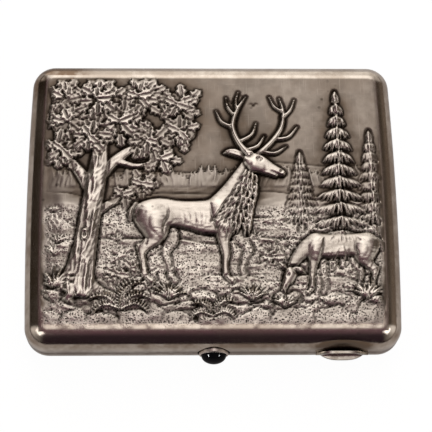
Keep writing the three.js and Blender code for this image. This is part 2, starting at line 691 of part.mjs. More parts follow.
function lidTray() {
  const tray = new THREE.Group();
  tray.add(
    piece('lid_shell', lidShell(), silver),
    piece('lid_hinge_bearer', hingeBearer(1), gilt),
    piece('lid_thumb_lip', lidLip(), brightSilver),
    piece('lid_keeper', lidKeeper(), gilt),
    piece('lid_band', band(lidBandZ), elastic),
    piece('lid_staple_left', staple(-1, lidBandZ, lidWallX), gilt),
    piece('lid_staple_right', staple(1, lidBandZ, lidWallX), gilt),
  );
  for (let i = 1; i < KNUCKLES; i += 2) {
    tray.add(piece(`lid_knuckle_${(i + 1) / 2}`, hingeKnuckle(i), silver));
  }
  return tray;
}

function pushButton() {
  const button = new THREE.Group();
  button.add(
    piece('button_bezel', bezel(), gilt),
    piece('button_cabochon', cabochon(), blackStone),
    piece('button_stem', buttonStem(), brightSilver),
  );
  return button;
}

const cigaretteCase = new THREE.Group();
cigaretteCase.add(baseTray(), lidTray(), pushButton());

export default cigaretteCase;
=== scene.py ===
# %% [markdown]
# # A silver cigarette case
# The case is two pressed silver trays on a hinge. This file dresses the exact model of it: the frame gives
# every piece at its real size and place, and what follows adds the fine shapes and the finishes. The lid is
# the heart of the piece, with a forest scene chased in high relief that has darkened in its hollows.

# %% Load the frame
import math

import bpy
import numpy as np
from mathutils import Matrix, Vector


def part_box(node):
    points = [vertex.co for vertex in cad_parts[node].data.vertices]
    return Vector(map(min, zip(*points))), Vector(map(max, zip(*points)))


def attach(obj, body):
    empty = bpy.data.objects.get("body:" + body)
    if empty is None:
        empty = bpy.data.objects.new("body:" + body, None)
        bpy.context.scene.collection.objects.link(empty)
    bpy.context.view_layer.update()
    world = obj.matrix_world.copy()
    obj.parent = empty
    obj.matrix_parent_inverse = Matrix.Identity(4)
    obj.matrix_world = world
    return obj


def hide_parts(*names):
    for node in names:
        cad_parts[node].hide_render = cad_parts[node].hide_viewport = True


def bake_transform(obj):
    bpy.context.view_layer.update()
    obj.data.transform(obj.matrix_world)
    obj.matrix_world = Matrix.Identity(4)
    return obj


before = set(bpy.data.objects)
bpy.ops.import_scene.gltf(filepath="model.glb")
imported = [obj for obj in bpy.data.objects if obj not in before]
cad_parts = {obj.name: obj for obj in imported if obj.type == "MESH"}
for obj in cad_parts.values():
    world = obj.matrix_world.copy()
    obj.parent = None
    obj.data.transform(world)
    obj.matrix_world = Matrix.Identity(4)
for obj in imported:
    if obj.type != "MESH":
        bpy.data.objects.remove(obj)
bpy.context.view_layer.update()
MM = 0.001
print("frame:", len(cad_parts), "nodes")

# %% [markdown]
# ## Sizes
# What the frame holds is read from it. The radii and the sheet's thickness aren't written on a box, so they
# are named here, in millimetres, as a silversmith would note them.

# %% Sizes of the case
def box_mm(node):
    low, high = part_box(node)
    return [c / MM for c in low], [c / MM for c in high]


base_high = box_mm("base_shell")[1]
lid_low, lid_high = box_mm("lid_shell")
RIGHT = base_high[0]  # with the bow of the short side
SIDE_BOW = 0.7
HALF_LENGTH = RIGHT - SIDE_BOW
BACK = base_high[1]
FRONT = -BACK
SEAM = (base_high[2] + lid_low[2]) / 2
TOP = 2 * SEAM
THUMB_X = (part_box("lid_thumb_lip")[0][0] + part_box("lid_thumb_lip")[1][0]) / 2 / MM
CORNER_RADIUS = 7.0
EDGE_RADIUS = 5.8
SHEET = 0.9
SOLDER = 0.1  # the gap that solder fills between two pieces
RELIEF_HIGHEST = lid_high[2] - TOP
print("case:", 2 * HALF_LENGTH, "x", 2 * BACK, "x", TOP, "mm, seam at", SEAM)

# %% [markdown]
# ## Camera
# The photograph looks down steeply from the front with a long lens, turned a little. The angles were found
# by fitting the outline of the case to the picture.

# %% Camera
CAMERA_ELEVATION = math.radians(70.0)
CAMERA_AZIMUTH = math.radians(-5.05)
CAMERA_ROLL = math.radians(4.70)
CAMERA_DISTANCE = 420.0
CAMERA_TARGET = (1.1, -2.9, 9.0)
FOCAL_PIXELS = 1394.0
PHOTO_WIDTH = 432


def add_camera():
    back = Vector((
        math.sin(CAMERA_AZIMUTH) * math.cos(CAMERA_ELEVATION),
        -math.cos(CAMERA_AZIMUTH) * math.cos(CAMERA_ELEVATION),
        math.sin(CAMERA_ELEVATION),
    ))
    level = Vector((math.cos(CAMERA_AZIMUTH), math.sin(CAMERA_AZIMUTH), 0))
    upright = back.cross(level)
    right = level * math.cos(CAMERA_ROLL) + upright * math.sin(CAMERA_ROLL)
    up = upright * math.cos(CAMERA_ROLL) - level * math.sin(CAMERA_ROLL)
    data = bpy.data.cameras.new("camera")
    data.sensor_width = 36
    data.lens = FOCAL_PIXELS * data.sensor_width / PHOTO_WIDTH
    camera = bpy.data.objects.new("camera", data)
    bpy.context.scene.collection.objects.link(camera)
    place = (Vector(CAMERA_TARGET) + back * CAMERA_DISTANCE) * MM
    camera.matrix_world = Matrix.Translation(place) @ Matrix((right, up, back)).transposed().to_4x4()
    bpy.context.scene.camera = camera
    print("camera lens", round(data.lens, 1), "mm")


add_camera()
bpy.context.scene.view_settings.view_transform = "Standard"

# %% [markdown]
# ## Nodes
# A material is a small graph. These helpers add one node at a time and plug values or other nodes into it,
# so that each finish below reads as a list of its steps.

# %% Node helpers
def put(tree, kind, inputs=(), **settings):
    made = tree.nodes.new(kind)
    for key, value in settings.items():
        setattr(made, key, value)
    for key, value in dict(inputs).items():
        plug(tree, made.inputs[key], value)
    return made


def plug(tree, socket, value):
    if isinstance(value, bpy.types.NodeSocket):
        tree.links.new(value, socket)
    elif isinstance(value, bpy.types.Node):
        tree.links.new(value.outputs[0], socket)
    else:
        socket.default_value = value


def maths(tree, operation, a, b=0.0, c=0.0, clamp=False):
    return put(tree, "ShaderNodeMath", {0: a, 1: b, 2: c}, operation=operation, use_clamp=clamp).outputs[0]


def times(tree, value, *others):
    for other in others:
        value = maths(tree, "MULTIPLY", value, other)
    return value


def plus(tree, value, *others):
    for other in others:
        value = maths(tree, "ADD", value, other)
    return value


def ramp(tree, value, low, high, to_low=0.0, to_high=1.0, kind="SMOOTHSTEP"):
    return put(tree, "ShaderNodeMapRange", {
        "Value": value, "From Min": low, "From Max": high, "To Min": to_low, "To Max": to_high,
    }, interpolation_type=kind).outputs[0]


def mix(tree, factor, a, b):
    made = put(tree, "ShaderNodeMix", data_type="RGBA")
    plug(tree, made.inputs[0], factor)
    plug(tree, made.inputs[6], a)
    plug(tree, made.inputs[7], b)
    return made.outputs[2]


def rgb(r, g, b):
    return (r, g, b, 1.0)


def object_spot(tree):
    """Where a point lies, in metres. It is the frame's place too, since every object sits at the origin."""
    return put(tree, "ShaderNodeTexCoord").outputs["Object"]


def object_xyz(tree):
    return put(tree, "ShaderNodeSeparateXYZ", {0: object_spot(tree)}).outputs


def grain(tree, spot, scale, detail, roughness=0.5):
    """Cloudy noise, most of it between 0.3 and 0.7."""
    return put(tree, "ShaderNodeTexNoise", {
        "Vector": spot, "Scale": scale, "Detail": detail, "Roughness": roughness}).outputs["Fac"]


# %% [markdown]
# ## Studio
# The case lies on white, below a white cloth that comes down behind it, and the camera's side of the room is
# dark. That is why the photograph's rounded edges are nearly black at the front and the sides and pale at
# the back: polished metal shows the room. The world is painted by direction to be that room.

# %% The dark side of the room
ROOM_BEFORE_ABOVE, ROOM_BEFORE = rgb(0.140, 0.076, 0.096), rgb(0.026, 0.016, 0.021)
ROOM_LEFT, ROOM_RIGHT = rgb(0.028, 0.021, 0.015), rgb(0.048, 0.036, 0.025)
ROOM_FAR_RIGHT = rgb(0.165, 0.133, 0.107)
SIDE_WINDOW = rgb(0.74, 0.71, 0.68)


def dark_room(tree, x, y, z):
    """Dark before the case and dim beside it, with a pale window at each side that fades to the front."""
    aside = maths(tree, "ABSOLUTE", x)
    before = mix(tree, ramp(tree, y, -0.10, -0.70), ROOM_BEFORE_ABOVE, ROOM_BEFORE)
    sides = mix(tree, ramp(tree, x, -0.3, 0.3), ROOM_LEFT, ROOM_RIGHT)
    sides = mix(tree, ramp(tree, x, 0.68, 0.90), sides, ROOM_FAR_RIGHT)
    dark = mix(tree, ramp(tree, aside, 0.25, 0.60), before, sides)
    beside = times(tree, ramp(tree, y, -0.02, 0.17, 1.0, 0.0), ramp(tree, y, -0.60, -0.05, 0.36, 1.0))
    pane = plus(tree, beside, ramp(tree, y, 0.52, 0.64))
    pane = times(tree, pane, ramp(tree, aside, 0.28, 0.90), ramp(tree, z, 0.00, 0.24))
    return mix(tree, pane, dark, SIDE_WINDOW)


# %% [markdown]
# The cloth is brightest where the lamp behind it shines through, which is what the flat of the lid reflects
# to the camera. It is dimmer to the right, and it widens towards the back.

# %% The cloth and the world
CLOTH, CLOTH_BEFORE_LAMP, CLOTH_RIGHT = rgb(1.12, 1.09, 1.05), rgb(1.70, 1.645, 1.59), rgb(0.62, 0.59, 0.55)


def white_cloth(tree, x, y):
    lamp = times(tree, ramp(tree, y, 0.00, 0.10), ramp(tree, y, 0.25, 0.38, 1.0, 0.0))
    light = mix(tree, lamp, CLOTH, CLOTH_BEFORE_LAMP)
    return mix(tree, ramp(tree, x, -0.10, 0.40), light, CLOTH_RIGHT)


def where_cloth_hangs(tree, x, y):
    wider = ramp(tree, y, 0.40, 0.95, 0.0, 0.40)
    left_side = plus(tree, x, 0.14, wider)
    right_side = plus(tree, maths(tree, "SUBTRACT", 0.30, x), wider)
    return times(tree, ramp(tree, y, -0.05, 0.13), ramp(tree, left_side, -0.12, 0.12),
                 ramp(tree, right_side, -0.22, 0.22))


def paint_world():
    world = bpy.data.worlds.new("studio")
    bpy.context.scene.world = world
    world.use_nodes = True
    tree = world.node_tree
    tree.nodes.clear()
    way = put(tree, "ShaderNodeSeparateXYZ", {0: put(tree, "ShaderNodeTexCoord").outputs["Generated"]})
    x, y, z = way.outputs
    colour = mix(tree, where_cloth_hangs(tree, x, y), dark_room(tree, x, y, z), white_cloth(tree, x, y))
    room = put(tree, "ShaderNodeBackground", {"Color": colour, "Strength": 1.0})
    white = put(tree, "ShaderNodeBackground", {"Color": rgb(1, 1, 1), "Strength": 1.0})
    seen = put(tree, "ShaderNodeLightPath").outputs["Is Camera Ray"]
    both = put(tree, "ShaderNodeMixShader", {0: seen, 1: room.outputs[0], 2: white.outputs[0]})
    put(tree, "ShaderNodeOutputWorld", {"Surface": both.outputs[0]})
    print("world nodes:", len(tree.nodes))


paint_world()

# %% [markdown]
# The world does most of the lighting. One soft lamp adds a shadow below the case, and two small ones put a
# glint on each front corner of the lid. A lamp that makes a glint on one piece lights that piece alone.

# %% Lamps
def add_lamp(name, direction, distance, size, watts, turn=0.0, narrow=1.0):
    """A square lamp, or a strip that is narrower by a share and turned about its own axis in degrees."""
    data = bpy.data.lights.new(name, "AREA")
    data.shape = "RECTANGLE"
    data.size = size * narrow
    data.size_y = size
    data.energy = watts
    lamp = bpy.data.objects.new(name, data)
    bpy.context.scene.collection.objects.link(lamp)
    lamp.location = Vector(direction).normalized() * distance
    lamp.rotation_euler = Vector(direction).to_track_quat("Z", "Y").to_euler()
    lamp.rotation_euler.rotate_axis("Z", math.radians(turn))
    return lamp


def light_only(lamp, piece):
    """A small lamp that makes a glint on one polished piece lights nothing else."""
    group = bpy.data.collections.new(lamp.name + "_lights")
    group.objects.link(piece)
    lamp.light_linking.receiver_collection = group


LAMP_AWAY = 0.80  # metres from the case
add_lamp("key_above", (0.10, 0.62, 0.78), LAMP_AWAY, 0.50, 0.36)
GLINT_LEFT = add_lamp("glint_left", (-0.56, -0.30, 0.76), LAMP_AWAY, 0.38, 0.76)
GLINT_RIGHT = add_lamp("glint_right", (0.58, -0.30, 0.74), LAMP_AWAY, 0.30, 0.70)

# %% [markdown]
# The floor is white paint. The camera sees it nearly as bright as the backdrop, and polished metal sees a
# part of that glow, which is why the lower half of the walls shines pale.

# %% Floor
FLOOR_WIDE = 3.0
FLOOR_GLOW = 1.1
GLOW_TO_CAMERA, GLOW_TO_METAL = 0.88, 0.20


def add_floor():
    bpy.ops.mesh.primitive_plane_add(size=FLOOR_WIDE, location=(0, 0, 0))
    floor = bpy.context.object
    floor.name = "floor"
    material = bpy.data.materials.new("floor_white")
    material.use_nodes = True
    tree = material.node_tree
    tree.nodes.clear()
    path = put(tree, "ShaderNodeLightPath")
    glow = put(tree, "ShaderNodeEmission", {"Color": rgb(1, 1, 1), "Strength": FLOOR_GLOW})
    paint = put(tree, "ShaderNodeBsdfDiffuse", {"Color": rgb(0.85, 0.85, 0.85)})
    share = plus(tree, times(tree, path.outputs["Is Camera Ray"], GLOW_TO_CAMERA),
                 times(tree, path.outputs["Is Glossy Ray"], GLOW_TO_METAL))
    both = put(tree, "ShaderNodeMixShader", {0: share, 1: paint.outputs[0], 2: glow.outputs[0]})
    put(tree, "ShaderNodeOutputMaterial", {"Surface": both.outputs[0]})
    floor.data.materials.append(material)
    print("floor", FLOOR_WIDE, "m wide")


add_floor()

# %% [markdown]
# ## Tools of the bench
# Each new piece starts as a plain primitive. It is shaped in edit mode and finished with modifiers that are
# applied. Faces and edges are picked by where they lie, which reads like pointing at them.

# %% Primitives
def drop_selection():
    if bpy.context.object and bpy.context.object.mode != "OBJECT":
        bpy.ops.object.mode_set(mode="OBJECT")
    bpy.ops.object.select_all(action="DESELECT")


def take_up(piece):
    """Selects one piece alone and makes it the active one."""
    drop_selection()
    bpy.context.view_layer.objects.active = piece
    piece.select_set(True)


def settle(piece, name):
    """Puts the piece's place into its mesh, so that its object sits at the origin."""
    piece.name = name
    piece.data.name = name
    bpy.ops.object.transform_apply(location=True, rotation=True, scale=True)
    return piece


def add_mesh(name, points, edges=(), faces=()):
    """A piece from points in metres, joined by edges or faces."""
    mesh = bpy.data.meshes.new(name)
    mesh.from_pydata(points, edges, faces)
    piece = bpy.data.objects.new(name, mesh)
    bpy.context.scene.collection.objects.link(piece)
    return piece


def add_block(name, low, high):
    """A box between two corners, in millimetres."""
    drop_selection()
    middle = [(a + b) / 2 * MM for a, b in zip(low, high)]
    bpy.ops.mesh.primitive_cube_add(size=1, location=middle)
    piece = bpy.context.object
    piece.scale = [(b - a) * MM for a, b in zip(low, high)]
    return settle(piece, name)


def add_rod(name, radius, start, length, axis, sides=64):
    """A rod from a start point along X, Y or Z, in millimetres."""
    drop_selection()
    turn = {"X": (0, math.pi / 2, 0), "Y": (math.pi / 2, 0, 0), "Z": (0, 0, 0)}[axis]
    middle = list(start)
    middle["XYZ".index(axis)] += length / 2
    bpy.ops.mesh.primitive_cylinder_add(
        vertices=sides, radius=radius * MM, depth=length * MM,
        location=[c * MM for c in middle], rotation=turn)
    return settle(bpy.context.object, name)


# %% [markdown]
# Operators work on what is selected. So every cut and every bevel below starts by picking its faces or edges,
# and a modifier is applied at once, so that the mesh is always what it looks like.

# %% Picking, cutting and finishing
def pick(piece, kind, test):
    """Selects the vertices, edges or faces whose middle, in millimetres, passes the test, in edit mode."""
    take_up(piece)
    bpy.ops.object.mode_set(mode="EDIT")
    bpy.ops.mesh.select_mode(type=kind)
    bpy.ops.mesh.select_all(action="DESELECT")
    bpy.ops.object.mode_set(mode="OBJECT")
    mesh = piece.data
    if kind == "FACE":
        for face in mesh.polygons:
            face.select = bool(test(face.center / MM, face.normal))
    elif kind == "EDGE":
        for edge in mesh.edges:
            a, b = (mesh.vertices[i].co for i in edge.vertices)
            edge.select = bool(test((a + b) / (2 * MM), (b - a).normalized()))
    else:
        for vertex in mesh.vertices:
            vertex.select = bool(test(vertex.co / MM, vertex.normal))
    bpy.ops.object.mode_set(mode="EDIT")


def cut_planes(piece, axis, places):
    """Cuts the whole mesh with planes across an axis, at places in millimetres."""
    pick(piece, "VERT", lambda p, n: True)
    normal = [float(a == axis) for a in "XYZ"]
    for place in places:
        bpy.ops.mesh.select_all(action="SELECT")
        bpy.ops.mesh.bisect(plane_co=[c * place * MM for c in normal], plane_no=normal)
    bpy.ops.object.mode_set(mode="OBJECT")


def use(piece, kind, **settings):
    """Adds a modifier and applies it."""
    take_up(piece)
    made = piece.modifiers.new(kind.lower(), kind)
    for key, value in settings.items():
        setattr(made, key, value)
    bpy.ops.object.modifier_apply(modifier=made.name)


def cut_away(piece, *cutters):
    for cutter in cutters:
        use(piece, "BOOLEAN", operation="DIFFERENCE", solver="EXACT", object=cutter)
        bpy.data.objects.remove(cutter)


def smooth_shade(piece, degrees=35):
    take_up(piece)
    bpy.ops.object.shade_smooth_by_angle(angle=math.radians(degrees))


def finish_piece(piece, body, slot, material, *nodes):
    """Rides the piece on its body and gives it its finish, in the place of the frame's own nodes."""
    if not piece.data.materials:
        piece.data.materials.append(material)
    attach(piece, body)
    if nodes:
        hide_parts(*nodes)
    print(piece.name, len(piece.data.polygons), "faces")
    return piece


# %% [markdown]
# ## Finishes
# Old silver isn't one colour. It is bright and warm where hands have rubbed it, brown-grey where it has
# tarnished, and black in the hollows. One group works out the clouds of tarnish, the pits and the fine
# scratches, and every metal here uses it with its own values.

# %% Wear group
LONG_SCRATCHES = {"Rotation": (0.2, 0.1, 0.9), "Scale": (2600.0, 130.0, 2600.0)}
CROSS_SCRATCHES = {"Rotation": (0.1, -0.2, -0.6), "Scale": (150.0, 2200.0, 2200.0)}


def make_wear_group():
    tree = bpy.data.node_groups.new("metal_wear", "ShaderNodeTree")
    tree.interface.new_socket(name="Scale", in_out="INPUT", socket_type="NodeSocketFloat")
    for name in ("Clouds", "Pits", "Scratches"):
        tree.interface.new_socket(name=name, in_out="OUTPUT", socket_type="NodeSocketFloat")
    start = put(tree, "NodeGroupInput")
    grown = put(tree, "ShaderNodeVectorMath", {0: object_spot(tree)}, operation="SCALE")
    plug(tree, grown.inputs["Scale"], start.outputs["Scale"])
    here = grown.outputs[0]
    clouds = maths(tree, "MULTIPLY_ADD", grain(tree, here, 420.0, 3.0), 0.35,
                   times(tree, grain(tree, here, 60.0, 5.0, 0.62), 0.75))
    cells = put(tree, "ShaderNodeTexVoronoi", {"Vector": here, "Scale": 300.0, "Randomness": 1.0})
    pits = times(tree, ramp(tree, cells.outputs["Distance"], 0.10, 0.22, 1.0, 0.0),
                 ramp(tree, grain(tree, here, 110.0, 1.0), 0.56, 0.66))
    long, cross = (grain(tree, put(tree, "ShaderNodeMapping", {"Vector": here, **way}).outputs[0], 1.0, 2.0)
                   for way in (LONG_SCRATCHES, CROSS_SCRATCHES))
    scratches = maths(tree, "MAXIMUM", ramp(tree, long, 0.60, 0.74), ramp(tree, cross, 0.62, 0.76))
    put(tree, "NodeGroupOutput", {"Clouds": clouds, "Pits": pits, "Scratches": scratches})
    print("wear group:", len(tree.nodes), "nodes")
    return tree


WEAR = make_wear_group()

# %% [markdown]
# Every material starts with the wear group and ends in a Principled shader. What lies between is the finish.

# %% Start and end of a material
def new_material(name):
    material = bpy.data.materials.new(name)
    material.use_nodes = True
    tree = material.node_tree
    tree.nodes.clear()
    wear = put(tree, "ShaderNodeGroup", node_tree=WEAR)
    wear.inputs["Scale"].default_value = 1.0
    return material, tree, wear


def close_material(tree, colour, roughness, metallic=1.0, bump=None, strength=0.3, distance=0.00003):
    shader = put(tree, "ShaderNodeBsdfPrincipled", {
        "Base Color": colour, "Roughness": roughness, "Metallic": metallic})
    if bump is not None:
        bumped = put(tree, "ShaderNodeBump", {"Height": bump, "Strength": strength, "Distance": distance})
        plug(tree, shader.inputs["Normal"], bumped.outputs[0])
    put(tree, "ShaderNodeOutputMaterial", {"Surface": shader.outputs[0]})
    return shader


# %% [markdown]
# The outside of both trays is smooth and handled: mirror-like, with brown tarnish in clouds and at the back
# left corner.
# A band along the seam, faint again under the front roll, is partly tarnish where fingers don't reach and
# partly painted shade, and the thumb dent is darkened with painted shade. Each of these is a mask worked out
# from where the point lies.

# %% Where the outer silver has tarnished, and where shade is painted on it
# The patch of painted shade in the thumb dent.
DENT_SHADE_PATCH = (0.0108, 0.0038)  # half the length and half the height of the dark patch, in metres


def seam_tarnish_and_shade(tree, clouds, over_seam, at_front):
    """Tarnish and painted shade: dark next to the seam, and faintly again where the front wall rolls over
    into the top.
    """
    near_seam = ramp(tree, maths(tree, "ABSOLUTE", over_seam), 0.0003, 0.0028, 0.62, 0.0)
    # Painted shade under the front roll, on the front only.
    under_roll = times(tree, ramp(tree, over_seam, 0.0034, 0.0050),
                       ramp(tree, over_seam, 0.0055, 0.0068, 0.36, 0.0), at_front)
    band = maths(tree, "MAXIMUM", near_seam, under_roll)
    return times(tree, band, ramp(tree, clouds, 0.30, 0.62, 0.72, 1.25))


# Painted shade in the thumb dent: a dark patch that stands for the shade of the hollow above the lip.
def dent_painted_shade(tree, clouds, x, over_seam, at_front):
    along = maths(tree, "DIVIDE", maths(tree, "SUBTRACT", x, THUMB_X * MM), DENT_SHADE_PATCH[0])
    up = maths(tree, "DIVIDE", maths(tree, "SUBTRACT", over_seam, DENT_SHADE_PATCH[1]), DENT_SHADE_PATCH[1])
    off_middle = plus(tree, times(tree, along, along), times(tree, up, up))
    return times(tree, ramp(tree, off_middle, 0.10, 1.0, 1.0, 0.0), at_front,
                 ramp(tree, clouds, 0.35, 0.65, 1.0, 0.78))


def side_tarnish(tree, clouds, x, y):
    """A cloud on the back left corner, and a dull skin on both short sides."""
    corner = times(tree, ramp(tree, x, -0.034, -0.046), ramp(tree, y, 0.030, 0.042),
                   ramp(tree, clouds, 0.30, 0.62, 0.35, 1.0))
    return plus(tree, corner, ramp(tree, maths(tree, "ABSOLUTE", x), 0.0515, 0.0550, 0.0, 0.35))


# %% [markdown]
# The masks are added up to one amount of tarnish and painted shade, which mixes the clean and the tarnished
# colour.

# %% Outer silver
CLEAN, TARNISHED = rgb(0.76, 0.67, 0.58), rgb(0.25, 0.170, 0.115)
PAINTED_SHADE_IN_DENT, DARK_IN_PITS = rgb(0.085, 0.068, 0.050), rgb(0.08, 0.055, 0.04)


def make_outer_silver():
    material, tree, wear = new_material("silver_outside")
    x, y, z = object_xyz(tree)
    clouds = wear.outputs["Clouds"]
    over_seam = maths(tree, "SUBTRACT", z, SEAM * MM)
    at_front = ramp(tree, y, -0.036, -0.042)
    shade_in_dent = dent_painted_shade(tree, clouds, x, over_seam, at_front)
    # The seam band and the dent carry painted shade as well as tarnish.
    marks = plus(tree, seam_tarnish_and_shade(tree, clouds, over_seam, at_front), shade_in_dent)
    tarnish_and_shade = plus(tree, times(tree, ramp(tree, clouds, 0.42, 0.66), 0.42), marks)
    tarnish_and_shade = maths(tree, "ADD", tarnish_and_shade, side_tarnish(tree, clouds, x, y), clamp=True)
    colour = mix(tree, tarnish_and_shade, CLEAN, TARNISHED)
    # Painted shade: the thumb dent is darkened further.
    colour = mix(tree, times(tree, shade_in_dent, 0.66), colour, PAINTED_SHADE_IN_DENT)
    colour = mix(tree, times(tree, wear.outputs["Pits"], 0.30), colour, DARK_IN_PITS)
    rough = ramp(tree, clouds, 0.35, 0.7, 0.11, 0.24)
    close_material(tree, colour, rough, bump=wear.outputs["Scratches"], strength=0.10)
    return material


OUTER_SILVER = make_outer_silver()

# %% [markdown]
# The relief carries its masks with it, painted on its points when it is made: how hollow, how rubbed, how
# matted and how handled each point is. Hollow points go black and rubbed ones bright. Matted ones are pale
# with dark punch marks, and at its border the relief takes the look of the smooth silver round it.

# %% Parts of the relief's silver
GROUND_PALE, GROUND_DULL = rgb(0.275, 0.224, 0.182), rgb(0.140, 0.108, 0.083)
GROUND_BROWN, SCRATCHED = rgb(0.178, 0.132, 0.097), rgb(0.52, 0.45, 0.38)


def relief_ground(tree, wear, here):
    """Silver that was never rubbed clean: dull and brown in clouds, with bright scratches."""
    ground = mix(tree, ramp(tree, wear.outputs["Clouds"], 0.36, 0.66), GROUND_PALE, GROUND_DULL)
    tint = grain(tree, here, 95.0, 4.0, 0.6)
    ground = mix(tree, ramp(tree, tint, 0.46, 0.64, 0.0, 0.7), ground, GROUND_BROWN)
    return mix(tree, times(tree, wear.outputs["Scratches"], 0.22), ground, SCRATCHED)


def punch_marks(tree, matted, here):
    """Round marks of a matting punch, of several sizes, where the relief is matted."""
    size = ramp(tree, grain(tree, here, 900.0, 1.0), 0.36, 0.62, 0.03, 0.27, "LINEAR")
    cells = put(tree, "ShaderNodeTexVoronoi", {"Vector": here, "Scale": 1350.0, "Randomness": 0.9},
                voronoi_dimensions="2D")
    past_edge = maths(tree, "SUBTRACT", cells.outputs["Distance"], size)
    return times(tree, ramp(tree, matted, 0.0, 0.7), ramp(tree, past_edge, 0.0, 0.16, 1.0, 0.0))


# %% [markdown]
# The colours go over one another in the order in which they came to the real lid: the ground, what hands have
# rubbed bright, the matting, and last the black that stays in all that is low.

# %% Relief silver
RUBBED_BRIGHT, MATTED_PALE = rgb(0.85, 0.765, 0.68), rgb(0.98, 0.89, 0.79)
BLACKENED = rgb(0.026, 0.018, 0.012)


def make_relief_silver():
    material, tree, wear = new_material("silver_relief")
    finish = put(tree, "ShaderNodeAttribute", attribute_name="finish")
    marks = put(tree, "ShaderNodeSeparateColor", {0: finish.outputs["Color"]})
    hollow, rubbed, matted = marks.outputs[0], marks.outputs[1], marks.outputs[2]
    handled = put(tree, "ShaderNodeAttribute", attribute_name="handled").outputs["Fac"]
    clouds = wear.outputs["Clouds"]
    here = object_spot(tree)
    shine = times(tree, rubbed, ramp(tree, clouds, 0.30, 0.75, 1.0, 0.80))
    colour = mix(tree, shine, relief_ground(tree, wear, here), RUBBED_BRIGHT)
    colour = mix(tree, times(tree, matted, 0.92), colour, MATTED_PALE)
    stipple = punch_marks(tree, matted, here)
    dark = maths(tree, "MAXIMUM", hollow, times(tree, stipple, 0.92))
    dark = maths(tree, "MAXIMUM", dark, times(tree, wear.outputs["Pits"], 0.60))
    colour = mix(tree, dark, colour, BLACKENED)
    smooth_silver = mix(tree, ramp(tree, clouds, 0.42, 0.66, 0.0, 0.42), CLEAN, TARNISHED)
    colour = mix(tree, handled, colour, smooth_silver)
    rough = maths(tree, "MULTIPLY_ADD", hollow, 0.20, 0.36)
    rough = maths(tree, "MULTIPLY_ADD", rubbed, -0.14, rough)
    rough = maths(tree, "MULTIPLY_ADD", handled, -0.14, rough)
    height = maths(tree, "MULTIPLY_ADD", stipple, -1.0, times(tree, wear.outputs["Scratches"], -0.3))
    close_material(tree, colour, rough, bump=height, strength=0.30, distance=0.00008)
    return material


RELIEF_SILVER = make_relief_silver()

# %% [markdown]
# The inside is gilt, so that tobacco doesn't stain it. The lips are plain bright silver, and the spring and
# the hinge pin steel. They differ in colour and gloss alone, so one function makes all three.

# %% Gilt, bright silver and steel
DIRT_IN_PITS = rgb(0.05, 0.035, 0.02)


def make_metal(name, clean, dull, low_rough, high_rough, bump=0.12):
    material, tree, wear = new_material(name)
    clouds = wear.outputs["Clouds"]
    colour = mix(tree, ramp(tree, clouds, 0.42, 0.68), clean, dull)
    colour = mix(tree, times(tree, wear.outputs["Pits"], 0.6), colour, DIRT_IN_PITS)
    rough = ramp(tree, clouds, 0.35, 0.7, low_rough, high_rough)
    close_material(tree, colour, rough, bump=wear.outputs["Scratches"], strength=bump)
    return material


GILT = make_metal("gilt_inside", rgb(0.80, 0.60, 0.30), rgb(0.58, 0.42, 0.20), 0.20, 0.34)
BRIGHT_SILVER = make_metal("silver_bright", rgb(0.78, 0.73, 0.66), rgb(0.50, 0.44, 0.37), 0.16, 0.30)
STEEL = make_metal("steel_spring", rgb(0.40, 0.41, 0.43), rgb(0.20, 0.19, 0.18), 0.24, 0.40)


# %% [markdown]
# The button's bezel is gilt too, darkened nearly to black, partly with age and partly as painted shade. Its
# front edge is rubbed down to the silver and painted pale there, partly wear and partly a painted highlight.
# The stone in it is a polished black one that takes its shape from two narrow glints, so its own colour is as
# good as none.

# %% Bezel and stone
# The pale band on the bezel's front edge is worn silver and a painted highlight.
RUBBED_HIGHLIGHT_BACK = (0.00070, 0.00125)  # metres behind the bezel's front, from where the gilding starts to stay
STONE_IOR = 1.12


def make_bezel_metal():
    material, tree, wear = new_material("bezel_worn_painted_light")
    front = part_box("button_bezel")[0][1]
    # Pale at the front edge: wear and a painted highlight. Nearly black behind it: age and painted shade.
    rubbed = ramp(tree, object_xyz(tree)["Y"], front + RUBBED_HIGHLIGHT_BACK[0], front + RUBBED_HIGHLIGHT_BACK[1], 1.0, 0.0)
    clouds = wear.outputs["Clouds"]
    dull = mix(tree, ramp(tree, clouds, 0.40, 0.66), rgb(0.090, 0.058, 0.034), rgb(0.032, 0.022, 0.016))
    bare = mix(tree, ramp(tree, clouds, 0.42, 0.68), rgb(0.95, 0.86, 0.80), rgb(0.66, 0.55, 0.47))
    close_material(tree, mix(tree, rubbed, dull, bare), ramp(tree, rubbed, 0.0, 1.0, 0.24, 0.34),
                   bump=wear.outputs["Scratches"], strength=0.10)
    return material


def make_black_stone():
    material, tree, wear = new_material("black_stone")
    depth = ramp(tree, wear.outputs["Clouds"], 0.4, 0.7)
    colour = mix(tree, depth, rgb(0.0002, 0.0002, 0.0003), rgb(0.0006, 0.0005, 0.0006))
    rough = ramp(tree, wear.outputs["Scratches"], 0.0, 1.0, 0.03, 0.10)
    shader = close_material(tree, colour, rough, metallic=0.0)
    shader.inputs["IOR"].default_value = STONE_IOR
    return material


BEZEL_WORN_AND_PAINTED_LIGHT = make_bezel_metal()
BLACK_STONE = make_black_stone()

# %% [markdown]
# The bands are woven from covered rubber cords that run lengthwise, with thin threads across. Two sine waves
# give that weave as a bump, and as a colour that is darker where the weave lies low, a painted shade in its
# grooves.

# %% Elastic
CORD_APART, THREAD_APART = 0.00072, 0.00050  # metres


